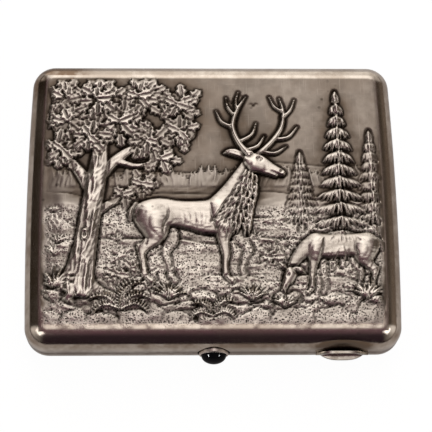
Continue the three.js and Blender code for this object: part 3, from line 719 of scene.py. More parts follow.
def make_elastic():
    material, tree, wear = new_material("elastic_weave")
    x, y, z = object_xyz(tree)
    cords = maths(tree, "SINE", times(tree, y, 2 * math.pi / CORD_APART))
    threads = maths(tree, "SINE", times(tree, x, 2 * math.pi / THREAD_APART))
    weave = maths(tree, "MULTIPLY_ADD", cords, 0.36, times(tree, threads, 0.14))
    lift = maths(tree, "ADD", weave, 0.5, clamp=True)
    age = ramp(tree, wear.outputs["Clouds"], 0.4, 0.7)
    thread = mix(tree, age, rgb(0.36, 0.26, 0.14), rgb(0.27, 0.19, 0.10))
    # Painted shade: the colour goes dark where the weave lies low.
    colour = mix(tree, lift, rgb(0.10, 0.07, 0.035), thread)
    close_material(tree, colour, 0.82, metallic=0.0, bump=lift, strength=0.7, distance=0.00012)
    return material


ELASTIC = make_elastic()
print("materials:", len(bpy.data.materials))

# %% [markdown]
# ## The trays
# Both trays are halves of one cushion-shaped block. The block's upright corners are rounded first, its short
# sides are bowed out a little, and then its long edges get the wide round that the photograph shows. Cut at
# the seam and given a wall, it is a tray.

# %% The cushion block
ROUND_STEPS = 16
SEAM_GAP = lid_low[2] - base_high[2]


def spread(low, high, step):
    """Evenly spaced values from low to high, about a step apart."""
    count = max(1, round((high - low) / step))
    return [low + (high - low) * i / count for i in range(count + 1)]


def smooth_step(low, high, value):
    """0 at low, 1 at high, with a soft start and end."""
    t = min(1.0, max(0.0, (value - low) / (high - low)))
    return t * t * (3 - 2 * t)


def bow_out(piece, inset):
    """Swells the short sides by a parabola that ends at the round corners."""
    straight = BACK - CORNER_RADIUS
    for vertex in piece.data.vertices:
        x, y = vertex.co.x / MM, vertex.co.y / MM
        share = max(0.0, 1 - (y / straight) ** 2)
        vertex.co.x += math.copysign(SIDE_BOW * share * MM, x) * smooth_step(0, HALF_LENGTH - inset, abs(x))


def cushion(name, inset, low, high, fine_x=(), step=6.0):
    """A block with round upright corners and bowed short sides, drawn in by an inset."""
    x, y = HALF_LENGTH - inset, BACK - inset
    piece = add_block(name, (-x, -y, low), (x, y, high))
    pick(piece, "EDGE", lambda middle, along: abs(along.z) > 0.9)
    bpy.ops.mesh.bevel(offset=(CORNER_RADIUS - inset) * MM, segments=ROUND_STEPS, affect="EDGES",
                       clamp_overlap=False)
    bpy.ops.object.mode_set(mode="OBJECT")
    straight_x, straight_y = HALF_LENGTH - CORNER_RADIUS, BACK - CORNER_RADIUS
    cut_planes(piece, "Y", spread(-straight_y, straight_y, step)[1:-1])
    cut_planes(piece, "X", sorted(set(spread(-straight_x, straight_x, step)[1:-1]) | set(fine_x)))
    bow_out(piece, inset)
    return piece


def round_edges(piece, radius):
    """Rounds every edge where two faces meet squarely."""
    pick(piece, "EDGE", lambda middle, along: False)
    bpy.ops.mesh.edges_select_sharp(sharpness=math.radians(60))
    bpy.ops.mesh.bevel(offset=radius * MM, segments=ROUND_STEPS, affect="EDGES", clamp_overlap=False)
    bpy.ops.object.mode_set(mode="OBJECT")


def keep_side(piece, level, upward):
    """Cuts the mesh at a level and keeps the part above it, or below it."""
    pick(piece, "VERT", lambda p, n: True)
    bpy.ops.mesh.bisect(plane_co=(0, 0, level * MM), plane_no=(0, 0, 1), clear_inner=upward,
                        clear_outer=not upward)
    bpy.ops.object.mode_set(mode="OBJECT")


# %% [markdown]
# The lid has a thumb dent above its lip. It is pressed in by moving the points of the wall onto a shallow
# hollow, before the wall gets its thickness, so that the dent shows inside too.

# %% Thumb dent
DENT_HALF_LENGTH = 10.4
DENT_DEPTH = 0.9
DENT_TOP = 7.4  # above the seam, where the hollow begins
DENT_DEEPEST = 4.0  # above the seam


def press_dent(piece):
    """A soft scoop that deepens down the rounded edge and closes again just over the seam."""
    for vertex in piece.data.vertices:
        x, y, z = (c / MM for c in vertex.co)
        along = min(1.0, abs(x - THUMB_X) / DENT_HALF_LENGTH)
        above = z - SEAM
        if y > 0 or along == 1 or above > DENT_TOP:
            continue
        down = smooth_step(DENT_TOP, DENT_DEEPEST, above) * smooth_step(0.0, DENT_DEEPEST, above)
        vertex.co.y += DENT_DEPTH * down * math.cos(math.pi / 2 * along) ** 2 * MM


# %% [markdown]
# Each tray of the real case is one sheet of silver, pressed and trimmed at the seam. Here the rounded block
# is cut there and thickened inwards, which leaves the outside as drawn. One round cutter makes the arched
# notch for the button in both walls, and another clears the room for the hinge. The top of the lid is let in
# a little inside a plain border, so that the relief lies in it and the two look like one sheet.

# %% Shells
NOTCH_RADIUS = 4.75
GALLERY_RADIUS = 1.6
GALLERY_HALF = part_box("base_knuckle_5")[1][0] / MM + 0.45
BORDER = 0.8
LET_IN = 0.5
FINE_STEP = 0.6  # between the cuts that let the wall bend into the thumb dent
CLEAR_OF_CORNER = 3  # how much sooner those cuts end on the right, before the round corner
WALL_CUTS = [SEAM + 0.5 * k for k in range(1, 7)]
BASE_CUT = SEAM - 1.1


def let_in_top(piece):
    """Sinks the flat of the top a little inside its border, to take the relief."""
    pick(piece, "FACE", lambda middle, normal: normal.z > 0.999 and middle.z > TOP - 0.01)
    bpy.ops.mesh.inset(thickness=BORDER * MM)
    bpy.ops.transform.translate(value=(0, 0, -LET_IN * MM))
    bpy.ops.object.mode_set(mode="OBJECT")


def gallery_cutter(sides):
    """The room for the knuckles, along the whole hinge."""
    start = (-GALLERY_HALF, BACK, SEAM)
    return add_rod("gallery_cutter", GALLERY_RADIUS, start, 2 * GALLERY_HALF, "X", sides)


def make_shell(name, upward):
    dent_end = THUMB_X + DENT_HALF_LENGTH - CLEAR_OF_CORNER
    fine = spread(THUMB_X - DENT_HALF_LENGTH, dent_end, FINE_STEP) if upward else ()
    shell = cushion(name, 0, 0, TOP, fine)
    round_edges(shell, EDGE_RADIUS)
    cut_planes(shell, "Z", WALL_CUTS if upward else [BASE_CUT])
    keep_side(shell, SEAM + (SEAM_GAP / 2 if upward else -SEAM_GAP / 2), upward)
    if upward:
        press_dent(shell)
        let_in_top(shell)
    shell.data.materials.append(OUTER_SILVER)
    shell.data.materials.append(GILT)
    use(shell, "SOLIDIFY", thickness=SHEET * MM, offset=-1, use_even_offset=True, use_rim=True,
        material_offset=1, material_offset_rim=0)
    notch = add_rod("notch_cutter", NOTCH_RADIUS, (0, FRONT - 1, SEAM), 1 + EDGE_RADIUS / 2, "Y", 96)
    cut_away(shell, notch, gallery_cutter(48))
    smooth_shade(shell, 32)
    return shell


finish_piece(make_shell("base_tray", False), "base", "silver", OUTER_SILVER, "base_shell")
lid_shell = finish_piece(make_shell("lid_tray", True), "lid", "silver", OUTER_SILVER, "lid_shell")
light_only(GLINT_LEFT, lid_shell)
light_only(GLINT_RIGHT, lid_shell)

# %% [markdown]
# ## The chased relief
# A chaser works such a lid from both sides with punches: forms are raised from the back, outlined with a
# tracer from the front, and their hollows are matted. The relief below is worked the same way on a fine grid
# of heights in millimetres. A form is laid on with a groove round it, a steep side and a rounded crown.

# %% Grid of heights
PANEL_X = HALF_LENGTH - EDGE_RADIUS
PANEL_Y = BACK - EDGE_RADIUS
OVERRUN = 1.3  # how far the relief reaches down the rounded edges
COLUMNS, ROWS = 366, 262

across = np.linspace(-1, 1, COLUMNS + 1) * (PANEL_X + OVERRUN)
upward = np.linspace(-1, 1, ROWS + 1) * (PANEL_Y + OVERRUN)
X, Y = np.meshgrid(across, upward)
CELL = across[1] - across[0]
print("relief grid:", X.size, "points,", round(CELL, 3), "mm apart")

# %% [markdown]
# Nothing that a hand has punched is even, so all unevenness comes from a few kinds of random field: smooth
# hills, long streaks for bark, fur and water-worn ground, and a tracer that bites deeper here than there.

# %% Random fields
HILLS = 97  # on each side of the lattice of random hills, which then repeats


def noise(u, v, seed):
    """Smooth random hills from 0 to 1, one hill a unit."""
    lattice = np.random.default_rng(seed).random((HILLS, HILLS))
    i, j = np.floor(u).astype(int), np.floor(v).astype(int)
    fu, fv = u - i, v - j
    fu, fv = fu * fu * (3 - 2 * fu), fv * fv * (3 - 2 * fv)
    a, b = lattice[i % HILLS, j % HILLS], lattice[(i + 1) % HILLS, j % HILLS]
    c, d = lattice[i % HILLS, (j + 1) % HILLS], lattice[(i + 1) % HILLS, (j + 1) % HILLS]
    return (a * (1 - fu) + b * fu) * (1 - fv) + (c * (1 - fu) + d * fu) * fv


def streaks(angle, length, width, seed):
    """Long thin ridges that run at an angle in degrees, from -0.5 to 0.5."""
    turn = math.radians(angle)
    along = X * math.cos(turn) + Y * math.sin(turn)
    beside = Y * math.cos(turn) - X * math.sin(turn)
    wander = noise(along / (length * 2), beside / (width * 6), seed + 1) * width * 3
    return noise(along / length, (beside + wander) / width, seed) - 0.5


def smooth(low, high, value):
    t = np.clip((value - low) / (high - low), 0, 1)
    return t * t * (3 - 2 * t)


def fading(gap, reach):
    """1 inside a form, and softly down to nothing over a reach outside it."""
    return np.exp(-((np.clip(gap, 0, None) / reach) ** 2))


def blurred(field, reach):
    """The field smoothed over a reach in mm, by way of its spectrum."""
    pad = int(3 * reach / CELL) + 2
    wide = np.pad(field, pad, mode="edge")
    fx = np.fft.fftfreq(wide.shape[1], CELL)
    fy = np.fft.fftfreq(wide.shape[0], CELL)
    keep = np.exp(-2 * (math.pi * reach) ** 2 * (fx[None, :] ** 2 + fy[:, None] ** 2))
    return np.real(np.fft.ifft2(np.fft.fft2(wide) * keep))[pad:-pad, pad:-pad]


BITE = 0.45 + 1.1 * noise(X / 4.0, Y / 4.0, 15)
print("the tracer bites", round(BITE.min(), 2), "to", round(BITE.max(), 2), "times as deep")

# %% [markdown]
# A stroke follows a smooth curve and swells and thins on its way. From the distance to it comes a form: how
# far each cell of the grid lies outside it, and how high its crown is there. Several forms can melt into one,
# as the limbs of an animal do.

# %% Strokes of the chaser
FAR_AWAY = 99.0


def window(points, reach):
    """The part of the grid round some points."""
    xs, ys = [p[0] for p in points], [p[1] for p in points]
    cols = np.searchsorted(across, [min(xs) - reach, max(xs) + reach])
    rows = np.searchsorted(upward, [min(ys) - reach, max(ys) + reach])
    return slice(*rows), slice(*cols)


def curve(points, steps=5):
    """A smooth path through its points, with the radius carried along."""
    points = [np.array(p, float) for p in points]
    if len(points) < 3:
        return points
    ends = [2 * points[0] - points[1]] + points + [2 * points[-1] - points[-2]]
    path = []
    for a, b, c, d in zip(ends, ends[1:], ends[2:], ends[3:]):
        for k in range(steps):
            t = k / steps
            path.append(0.5 * (2 * b + (c - a) * t + (2 * a - 5 * b + 4 * c - d) * t * t
                               + (3 * b - a - 3 * c + d) * t ** 3))
    path.append(points[-1])
    return [np.array([p[0], p[1], max(p[2], 0.08)]) for p in path]


def each_stretch(path, x, y):
    """For every straight stretch of a path: how far each cell is from it, and the third value beside it."""
    for (ax, ay, ar), (bx, by, br) in zip(path, path[1:]):
        dx, dy = bx - ax, by - ay
        t = np.clip(((x - ax) * dx + (y - ay) * dy) / (dx * dx + dy * dy + 1e-9), 0, 1)
        yield np.hypot(x - ax - t * dx, y - ay - t * dy), ar + (br - ar) * t


def sweep(path, x, y):
    """The signed distance to a rod along a path, and the rod's rounded height."""
    gap, crown = np.full(x.shape, FAR_AWAY), np.zeros(x.shape)
    for away, radius in each_stretch(path, x, y):
        gap = np.minimum(gap, away - radius)
        crown = np.maximum(crown, np.sqrt(np.clip(radius * radius - away * away, 0, None)))
    return gap, crown


def limb(*points):
    """A rod that swells and thins on a smooth curve through (x, y, radius) points."""
    path = curve(points)
    part = window(path, max(p[2] for p in path) + 3)
    gap, crown = np.full(X.shape, FAR_AWAY), np.zeros(X.shape)
    gap[part], crown[part] = sweep(path, X[part], Y[part])
    return gap, crown


def join(*forms, blend=0.8):
    """Melts several forms into one."""
    gap, crown = forms[0]
    for other_gap, other_crown in forms[1:]:
        share = np.clip(0.5 + 0.5 * (other_gap - gap) / blend, 0, 1)
        gap = other_gap * (1 - share) + gap * share - blend * share * (1 - share)
        crown = (crown ** 5 + other_crown ** 5) ** 0.2
    return gap, crown


# %% [markdown]
# What a form or a curve does to the heights is one of four things: it is laid on, it swells what is there, a
# tracing punch cuts along it, or a small shape is stamped on, such as a lock of hair or a blade of grass.

# %% Laying, swelling, creasing and stamping
def lay(height, form, rise, texture=None, groove=0.34, halo=0.5, keep=0.2, base=0.34, soft=0.15):
    """Sets a form on the relief: a dark groove round it, a steep side, then its rounded crown."""
    gap, crown = form
    height = height - groove * BITE * fading(gap, halo)
    full = np.clip(crown / (crown.max() + 1e-9), 0, 1)
    body = rise * (base + (1 - base) * full ** 0.85)
    if texture is not None:
        body = body + texture
    inside = smooth(soft, -soft, gap)
    return height * (1 - inside) + (np.clip(height, 0, None) * keep + body) * inside


def swell(height, form, amount, power=1.2):
    """Raises a muscle, with a soft edge."""
    gap, crown = form
    return height + amount * np.clip(crown / (crown.max() + 1e-9), 0, 1) ** power


def crease(height, *points, depth=0.26, width=0.2):
    """Cuts a line with a tracing punch. The third value of a point says how deep, from 0 to 1."""
    path = curve(points)
    part = window(path, 1.5)
    cut = np.zeros(X[part].shape)
    for away, share in each_stretch(path, X[part], Y[part]):
        cut = np.maximum(cut, share * np.exp(-((away / width) ** 2)))
    height[part] -= depth * cut
    return height


def stamp(height, points, level, groove=0.28, halo=0.28):
    """Lays one small form, and works only on the cells round it."""
    path = curve(points, 4)
    widest = max(p[2] for p in path)
    part = window(path, widest + 1.1)
    if height[part].size == 0:
        return height
    gap, crown = sweep(path, X[part], Y[part])
    under = height[part] - groove * BITE[part] * fading(gap, halo)
    inside = smooth(0.13, -0.13, gap)
    body = level * (0.70 + 0.30 * crown / widest)
    height[part] = under * (1 - inside) + np.maximum(body, under * 0.9) * inside
    return height


def strand(height, x, y, angle, long, radius, curl, level, groove=0.2):
    """A lock of hair or a blade: it starts wide, wanders sideways and ends in a point."""
    points, turn = [(x, y, radius * 0.8)], math.radians(angle)
    for bend, width in zip(curl, (1.0, 0.95, 0.62, 0.2)):
        turn += math.radians(bend)
        x, y = x + long / 4 * math.cos(turn), y + long / 4 * math.sin(turn)
        points.append((x, y, radius * width))
    return stamp(height, points, level, groove=groove, halo=0.24)


def moved(points, x, y, scale, flip=1):
    """Points of a drawing, scaled and set down at (x, y), the other way round with flip -1."""
    return [(x + flip * scale * px, y + scale * py, r * scale) for px, py, r in points]


def pencil(x, y, scale, flip=1, depth=0.26):
    """Draws an animal that is set down at (x, y): one function makes its limbs, the other traces lines."""
    def at(*points):
        return limb(*moved(points, x, y, scale, flip))

    def line(height, *points, depth=depth, width=0.2):
        traced = [(px, py, r / scale) for px, py, r in moved(points, x, y, scale, flip)]
        return crease(height, *traced, depth=depth, width=width)

    return at, line


# %% [markdown]
# The stag is drawn from the skeleton outwards: rods that swell and thin stand for the limbs and melt into
# one body, soft swellings and traced lines give the muscles, and locks of hair cover the neck. The far legs
# and the far antler come first, since what is laid on later stands in front.

# %% Stag's body
def stag_far_side(height, at):
    antler = join(
        at((18.0, 33.8, 0.72), (21.6, 37.2, 0.66), (24.4, 41.4, 0.58), (25.0, 45.8, 0.44), (24.2, 49.6, 0.2)),
        at((19.2, 34.8, 0.55), (22.6, 34.4, 0.45), (25.4, 36.2, 0.2)),
        at((22.4, 38.2, 0.5), (26.0, 38.8, 0.42), (28.4, 41.6, 0.2)),
        at((24.8, 44.2, 0.45), (26.9, 46.4, 0.36), (28.0, 49.2, 0.18)),
        at((25.0, 45.8, 0.4), (22.8, 47.4, 0.32), (21.6, 50.0, 0.16)), blend=0.25)
    legs = join(
        at((11.2, 15.0, 2.8), (13.4, 11.6, 1.7), (15.5, 8.5, 1.2), (15.2, 7.4, 1.1), (14.2, 4.9, 0.74),
           (13.9, 3.2, 0.86)),
        at((13.9, 3.0, 0.72), (14.5, 1.7, 0.86)),
        at((-6.0, 15.5, 3.2), (-3.6, 11.4, 2.0), (-4.6, 8.6, 1.25), (-5.0, 7.4, 1.15), (-4.1, 4.4, 0.76),
           (-3.8, 1.9, 0.9)),
        at((-3.7, 1.6, 0.7), (-2.8, 0.4, 0.9)), blend=0.5)
    tail = at((-12.2, 20.2, 1.0), (-13.4, 18.0, 1.05), (-13.8, 16.0, 0.35))
    height = lay(height, antler, 0.95)
    height = lay(height, legs, 0.95)
    return lay(height, tail, 1.0)


def stag_body(height, at):
    body = join(
        at((-9.4, 17.9, 3.5), (-6.6, 18.2, 3.9), (-2.2, 17.9, 3.5), (2.0, 17.3, 4.0), (5.6, 16.9, 4.6),
           (9.2, 17.5, 4.7)),
        at((9.6, 15.4, 3.2), (12.2, 17.8, 3.2)),
        at((8.6, 18.8, 4.0), (11.6, 22.8, 3.4), (14.0, 27.2, 2.6), (15.9, 30.8, 2.1)),
        at((10.0, 15.4, 3.0), (9.4, 12.4, 1.9), (9.5, 9.8, 1.3), (9.9, 7.4, 1.08), (9.7, 4.8, 0.70),
           (9.8, 2.1, 0.88), (10.3, 1.3, 0.66)),
        at((-8.7, 17.0, 4.1), (-7.5, 13.9, 3.3), (-7.9, 11.4, 2.0), (-10.7, 8.3, 1.18), (-10.5, 5.2, 0.76),
           (-10.1, 2.1, 0.92), (-9.5, 1.3, 0.66)),
        at((-11.8, 9.4, 0.5), (-10.7, 8.2, 0.85)), blend=1.1)
    hooves = join(at((10.4, 1.0, 0.72), (11.3, 0.3, 0.95)),
                  at((-9.4, 1.0, 0.72), (-8.5, 0.3, 0.95)), blend=0.2)
    height = lay(height, body, 1.62, base=0.42)
    height = lay(height, hooves, 0.95, groove=0.15)
    return height + 0.09 * streaks(2, 1.9, 0.36, 62) * smooth(0.2, -1.0, body[0])


def stag_muscles(height, at, line):
    height = swell(height, at((-9.4, 18.4, 2.6), (-8.0, 15.4, 3.2), (-7.2, 12.4, 1.9)), 0.34, power=1.8)
    height = swell(height, at((7.6, 20.6, 1.6), (9.8, 17.2, 2.8), (9.4, 13.2, 1.8)), 0.36, power=1.8)
    height = swell(height, at((0.0, 16.6, 2.0), (4.0, 15.8, 2.9)), 0.18, power=2.0)
    height = line(height, (-4.6, 20.4, 0.1), (-4.4, 17.4, 0.8), (-5.4, 14.6, 1.0), (-5.6, 12.6, 0.5))
    height = line(height, (-5.2, 14.4, 0.9), (-3.6, 15.2, 0.6), (-2.4, 16.6, 0.1), depth=0.18)
    height = line(height, (6.0, 21.0, 0.1), (6.4, 17.6, 0.8), (7.4, 14.4, 1.0), (8.0, 12.8, 0.6))
    height = line(height, (-10.6, 13.4, 0.2), (-9.6, 11.4, 0.8), (-9.9, 9.6, 0.9), depth=0.2)
    height = line(height, (10.4, 12.8, 0.9), (10.0, 10.6, 0.5), (10.2, 8.6, 0.1), depth=0.18)
    for k in range(5):
        rib = -0.4 + k * 1.4
        height = line(height, (rib - 0.6, 18.6, 0.1), (rib, 16.4, 0.7), (rib - 0.3, 14.2, 0.2), depth=0.10)
    return height


# %% [markdown]
# A red stag in autumn has a mane that hangs in wavy locks from jaw to chest. The locks stand in nine rows
# down the neck, wider towards the chest. The lowest is stamped first, and each one above it lies over it.

# %% Stag's mane
MANE_ROWS = 9


def stag_mane(height, x, y, scale):
    rng = np.random.default_rng(5)
    locks = []
    for row in range(MANE_ROWS):
        share = row / (MANE_ROWS - 1)
        cx, cy = 16.4 - 4.6 * share ** 1.2, 28.8 - 12.4 * share
        wide = 1.5 + 2.5 * share
        count = 4 + row // 2
        for k in range(count):
            side = -1 + 2 * (k + 0.5) / count
            locks.append((cx + side * wide * 0.95, cy - side * wide * 0.42 + rng.uniform(-0.4, 0.4), side))
    locks.sort(key=lambda lock: lock[1])
    for px, py, side in locks:
        bend = rng.uniform(12, 26)
        angle = -104 + 26 * side + rng.uniform(-8, 8)
        height = strand(height, x + scale * px, y + scale * py, angle, scale * rng.uniform(2.9, 4.2),
                        0.46 * scale, (bend, -bend, -bend, bend), 1.80 - 0.2 * abs(side))
    return height


# %% [markdown]
# The head comes last and lies over the mane. Its eye, nostril and mouth are traced, and the near antler is
# laid over all.

# %% Stag's head
def stag_head(height, x, y, scale, at, line):
    ear = at((15.2, 33.0, 0.6), (13.2, 34.2, 1.15), (11.2, 34.6, 0.9), (9.6, 34.4, 0.2))
    height = lay(height, ear, 1.35)
    height = line(height, (14.6, 33.4, 0.4), (12.4, 34.4, 1.0), (10.6, 34.6, 0.4), depth=0.3)
    head = join(
        at((16.7, 32.2, 2.2), (18.8, 31.6, 1.95), (21.2, 30.3, 1.4), (23.4, 29.2, 1.05), (24.2, 28.8, 0.9)),
        at((17.2, 30.6, 1.7), (19.8, 29.6, 1.2), (22.4, 28.4, 0.75)), blend=0.7)
    height = lay(height, head, 1.84, keep=0.0, base=0.5)
    height = swell(height, at((17.6, 30.8, 1.3), (19.0, 30.2, 1.0)), 0.14)
    height = line(height, (18.1, 32.6, 0.8), (18.8, 32.8, 1.0), (19.3, 32.3, 0.6), depth=0.42, width=0.24)
    eye = moved([(18.55, 32.2, 0.30), (18.8, 32.15, 0.30)], x, y, scale)
    height = stamp(height, eye, 1.9, groove=0.3)
    height = line(height, (24.4, 28.0, 1.0), (22.8, 28.5, 0.9), (21.6, 29.1, 0.4), depth=0.34)
    height = line(height, (24.3, 29.3, 1.0), (24.0, 29.1, 1.0), depth=0.42, width=0.26)
    return line(height, (17.6, 28.9, 0.9), (19.2, 28.9, 0.6), (20.4, 29.2, 0.2), depth=0.2)


def stag_antler(height, x, y, scale, at):
    antler = join(
        at((16.0, 33.9, 0.95), (13.5, 37.2, 0.76), (12.0, 41.6, 0.66), (13.2, 46.2, 0.5), (15.4, 50.0, 0.2)),
        at((15.2, 35.0, 0.6), (18.2, 36.2, 0.48), (20.0, 39.0, 0.2)),
        at((13.7, 37.4, 0.55), (16.8, 39.4, 0.44), (18.0, 42.6, 0.2)),
        at((12.1, 41.4, 0.5), (9.2, 43.0, 0.42), (7.8, 46.0, 0.2)),
        at((12.6, 44.6, 0.45), (10.8, 47.2, 0.34), (10.4, 49.8, 0.16)),
        at((13.2, 46.2, 0.4), (12.9, 48.8, 0.32), (13.6, 51.4, 0.15)), blend=0.25)
    height = lay(height, antler, 1.6)
    burr = moved([(15.4, 34.2, 0.5), (16.7, 34.3, 0.5)], x, y, scale)
    return stamp(height, burr, 1.7, groove=0.2)


def stag(height, x, y, scale):
    """A red stag that steps to the right with its head up."""
    at, line = pencil(x, y, scale)
    height = stag_far_side(height, at)
    height = stag_body(height, at)
    height = stag_muscles(height, at, line)
    height = stag_mane(height, x, y, scale)
    height = stag_head(height, x, y, scale, at, line)
    return stag_antler(height, x, y, scale, at)


# %% [markdown]
# The doe is drawn the same way, in lower relief, because she stands further off. Her head is down to graze.

# %% Doe
def doe_body(height, at):
    far_legs = join(
        at((8.6, 15.0, 2.6), (7.4, 11.0, 1.5), (7.0, 7.2, 1.1), (6.6, 4.4, 0.75), (6.4, 2.0, 0.9)),
        at((6.5, 1.6, 0.7), (7.3, 0.4, 0.9)),
        at((-5.0, 15.5, 3.0), (-3.6, 11.2, 1.9), (-5.6, 7.8, 1.15), (-5.2, 4.4, 0.75), (-5.0, 2.0, 0.9)),
        at((-4.9, 1.6, 0.7), (-4.0, 0.4, 0.9)), blend=0.5)
    height = lay(height, far_legs, 0.85)
    height = lay(height, at((-11.4, 19.2, 1.0), (-12.8, 17.4, 1.1), (-13.0, 15.2, 0.4)), 0.9)
    body = join(
        at((-7.6, 17.6, 4.2), (-3.6, 17.3, 4.0), (0.6, 16.9, 4.0), (5.0, 16.8, 4.2), (8.8, 17.2, 4.1)),
        at((9.8, 15.0, 2.8), (10.2, 12.0, 1.8), (10.6, 9.4, 1.35), (11.0, 7.2, 1.1), (11.0, 4.6, 0.74),
           (11.2, 2.0, 0.9), (11.6, 1.2, 0.7)),
        at((-7.6, 16.6, 4.4), (-6.8, 13.4, 3.3), (-8.0, 10.8, 1.9), (-10.2, 8.2, 1.25), (-9.7, 5.0, 0.8),
           (-9.2, 2.0, 0.94), (-8.7, 1.2, 0.7)),
        at((9.4, 18.0, 3.6), (13.4, 15.6, 2.6), (16.6, 11.6, 1.9), (18.0, 8.4, 1.6)),
        at((-11.1, 9.0, 0.6), (-10.2, 8.0, 0.9)), blend=0.9)
    hooves = join(at((11.6, 1.0, 0.72), (12.5, 0.3, 0.95)),
                  at((-8.7, 1.0, 0.72), (-7.8, 0.3, 0.95)), blend=0.2)
    height = lay(height, body, 1.35, base=0.42)
    height = lay(height, hooves, 0.85, groove=0.15)
    return height + 0.09 * streaks(178, 1.8, 0.36, 66) * smooth(0.2, -0.8, body[0])


def doe_muscles(height, at, line):
    height = swell(height, at((-8.0, 18.0, 2.8), (-7.0, 15.0, 3.1), (-6.8, 12.6, 1.8)), 0.28)
    height = swell(height, at((8.0, 19.0, 1.4), (9.8, 16.0, 2.3), (9.8, 13.0, 1.5)), 0.26)
    height = line(height, (-4.4, 19.4, 0.2), (-3.6, 16.4, 0.8), (-4.4, 13.8, 1.0))
    height = line(height, (6.6, 19.8, 0.2), (7.0, 16.6, 0.9), (7.8, 13.4, 1.0))
    return line(height, (-2.6, 13.6, 0.9), (1.0, 13.9, 0.5), (5.4, 13.6, 0.2), depth=0.14)


def doe_head(height, at, line):
    height = lay(height, at((19.2, 8.6, 0.5), (21.0, 9.8, 1.0), (22.4, 11.0, 0.2)), 0.9)
    head = join(
        at((18.2, 7.6, 1.8), (19.0, 5.6, 1.6), (20.0, 3.2, 1.15), (20.8, 1.2, 0.85)),
        at((17.4, 6.6, 1.3), (18.4, 4.0, 0.9)), blend=0.6)
    height = lay(height, head, 1.4, keep=0.0, base=0.5)
    height = lay(height, at((17.0, 9.0, 0.5), (15.0, 8.2, 1.05), (13.2, 7.0, 0.2)), 1.3)
    height = line(height, (16.6, 8.8, 0.4), (15.0, 8.1, 1.0), (13.8, 7.4, 0.4), depth=0.25)
    height = line(height, (18.9, 6.6, 1.0), (19.3, 6.0, 1.0), depth=0.4, width=0.24)
    return line(height, (20.2, 1.2, 1.0), (20.0, 2.6, 0.5), depth=0.28)


def doe(height, x, y, scale, flip):
    """A doe that grazes."""
    at, line = pencil(x, y, scale, flip, depth=0.22)
    height = doe_body(height, at)
    height = doe_muscles(height, at, line)
    return doe_head(height, at, line)


# %% [markdown]
# Leaves are chased one by one with a leaf-shaped punch and then veined. A crown is a low mound on which
# leaves fan out from the middle in a spiral, and a fir is a stem with tiers of drooping twigs. The outer ones
# go on first, so that the middle stands highest, as it does on a chased lid.

# %% Trees
SPIRAL = 2.39996  # radians from one leaf to the next, the angle by which no two leaves line up


def leaf(height, x, y, angle, long, level):
    """An oak leaf: lobed edges, a middle vein and a slight dish."""
    turn = math.radians(angle)
    part = window([(x, y), (x + long * math.cos(turn), y + long * math.sin(turn))], long * 0.45 + 0.9)
    if height[part].size == 0:
        return height
    dx, dy = X[part] - x, Y[part] - y
    u = (dx * math.cos(turn) + dy * math.sin(turn)) / long
    v = np.abs(dy * math.cos(turn) - dx * math.sin(turn)) / long
    inner = np.clip(u, 0.001, 0.999)
    half = 0.34 * np.sin(math.pi * inner ** 0.85) ** 0.7 * (1 + 0.25 * np.cos(2 * math.pi * (2.7 * u - 0.1)))
    gap = np.where((u > 0) & (u < 1), (v - half) * 0.8, np.hypot(np.where(u > 0.5, u - 1, u), v)) * long
    dish = 0.86 + 0.14 * np.clip(v / 0.3, 0, 1) - 0.24 * np.exp(-((v * long / 0.2) ** 2)) - 0.16 * u
    under = height[part] - 0.3 * fading(gap, 0.28)
    inside = smooth(0.12, -0.12, gap)
    height[part] = under * (1 - inside) + np.maximum(level * dish, under * 0.85) * inside
    return height


def foliage(height, x, y, radius, rise, rng):
    """A mass of oak leaves that fan out from the middle, the top ones last."""
    mound = limb((x - radius * 0.3, y, radius * 0.8), (x + radius * 0.3, y, radius * 0.8))
    height = lay(height, mound, rise * 0.5, groove=0.25)
    count = int(4 + radius * radius * 0.52)
    for k in reversed(range(count)):
        away = radius * math.sqrt((k + 0.5) / count)
        turn = k * SPIRAL + rng.uniform(-0.4, 0.4)
        cx, cy = x + (away - 1.3) * math.cos(turn) * 1.15, y + (away - 1.3) * math.sin(turn)
        level = rise * (0.70 + 0.50 * (1 - away / radius)) * rng.uniform(0.92, 1.06)
        long = rng.uniform(3.4, 4.3) + 0.12 * radius
        height = leaf(height, cx, cy, math.degrees(turn) + rng.uniform(-35, 35), long, level)
    return height


def outer_first(count, place):
    """The numbers from 0 to count, those first whose place is furthest from the middle."""
    return sorted(range(count), key=lambda k: -abs(place(k)))


def fir(height, x, foot, top, half_width, rise, rng, tiers):
    """A fir: tiers of drooping boughs with twigs, the upper tiers over the lower ones."""
    height = lay(height, limb((x, foot, 0.9), (x, top, 0.3)), rise * 0.5)
    for tier in range(tiers):
        share = tier / (tiers - 1)
        y = foot + 3.5 + (top - foot - 6.0) * share ** 0.92
        wide = half_width * (1 - share) ** 0.85 + 1.1
        twigs = int(5 + wide * 1.5)
        for k in outer_first(twigs, lambda k: -1 + 2 * (k + 0.5) / twigs):
            side = -1 + 2 * (k + 0.5) / twigs + rng.uniform(-0.06, 0.06)
            drop = 2.0 + 1.0 * (1 - abs(side)) + rng.uniform(-0.4, 0.4)
            root = (x + side * wide * 0.22, y + 2.0, 0.4)
            elbow = (x + side * wide * 0.72, y + 0.7 - 0.3 * abs(side), 0.52)
            tip = (x + side * wide * 1.02, y - drop * 0.55, 0.2)
            height = stamp(height, (root, elbow, tip), rise * (0.6 + 0.4 * (1 - abs(side))), groove=0.26)
    return stamp(height, ((x, top - 2.8, 0.45), (x, top, 0.16)), rise * 0.6)


# %% [markdown]
# Blades of grass and fronds of fern are single strokes with a pointed punch. A tuft fans them out from one
# root, and a frond has a leaflet on each side at every step of its stem.

# %% Grass and ferns
FERN_STEPS = 12


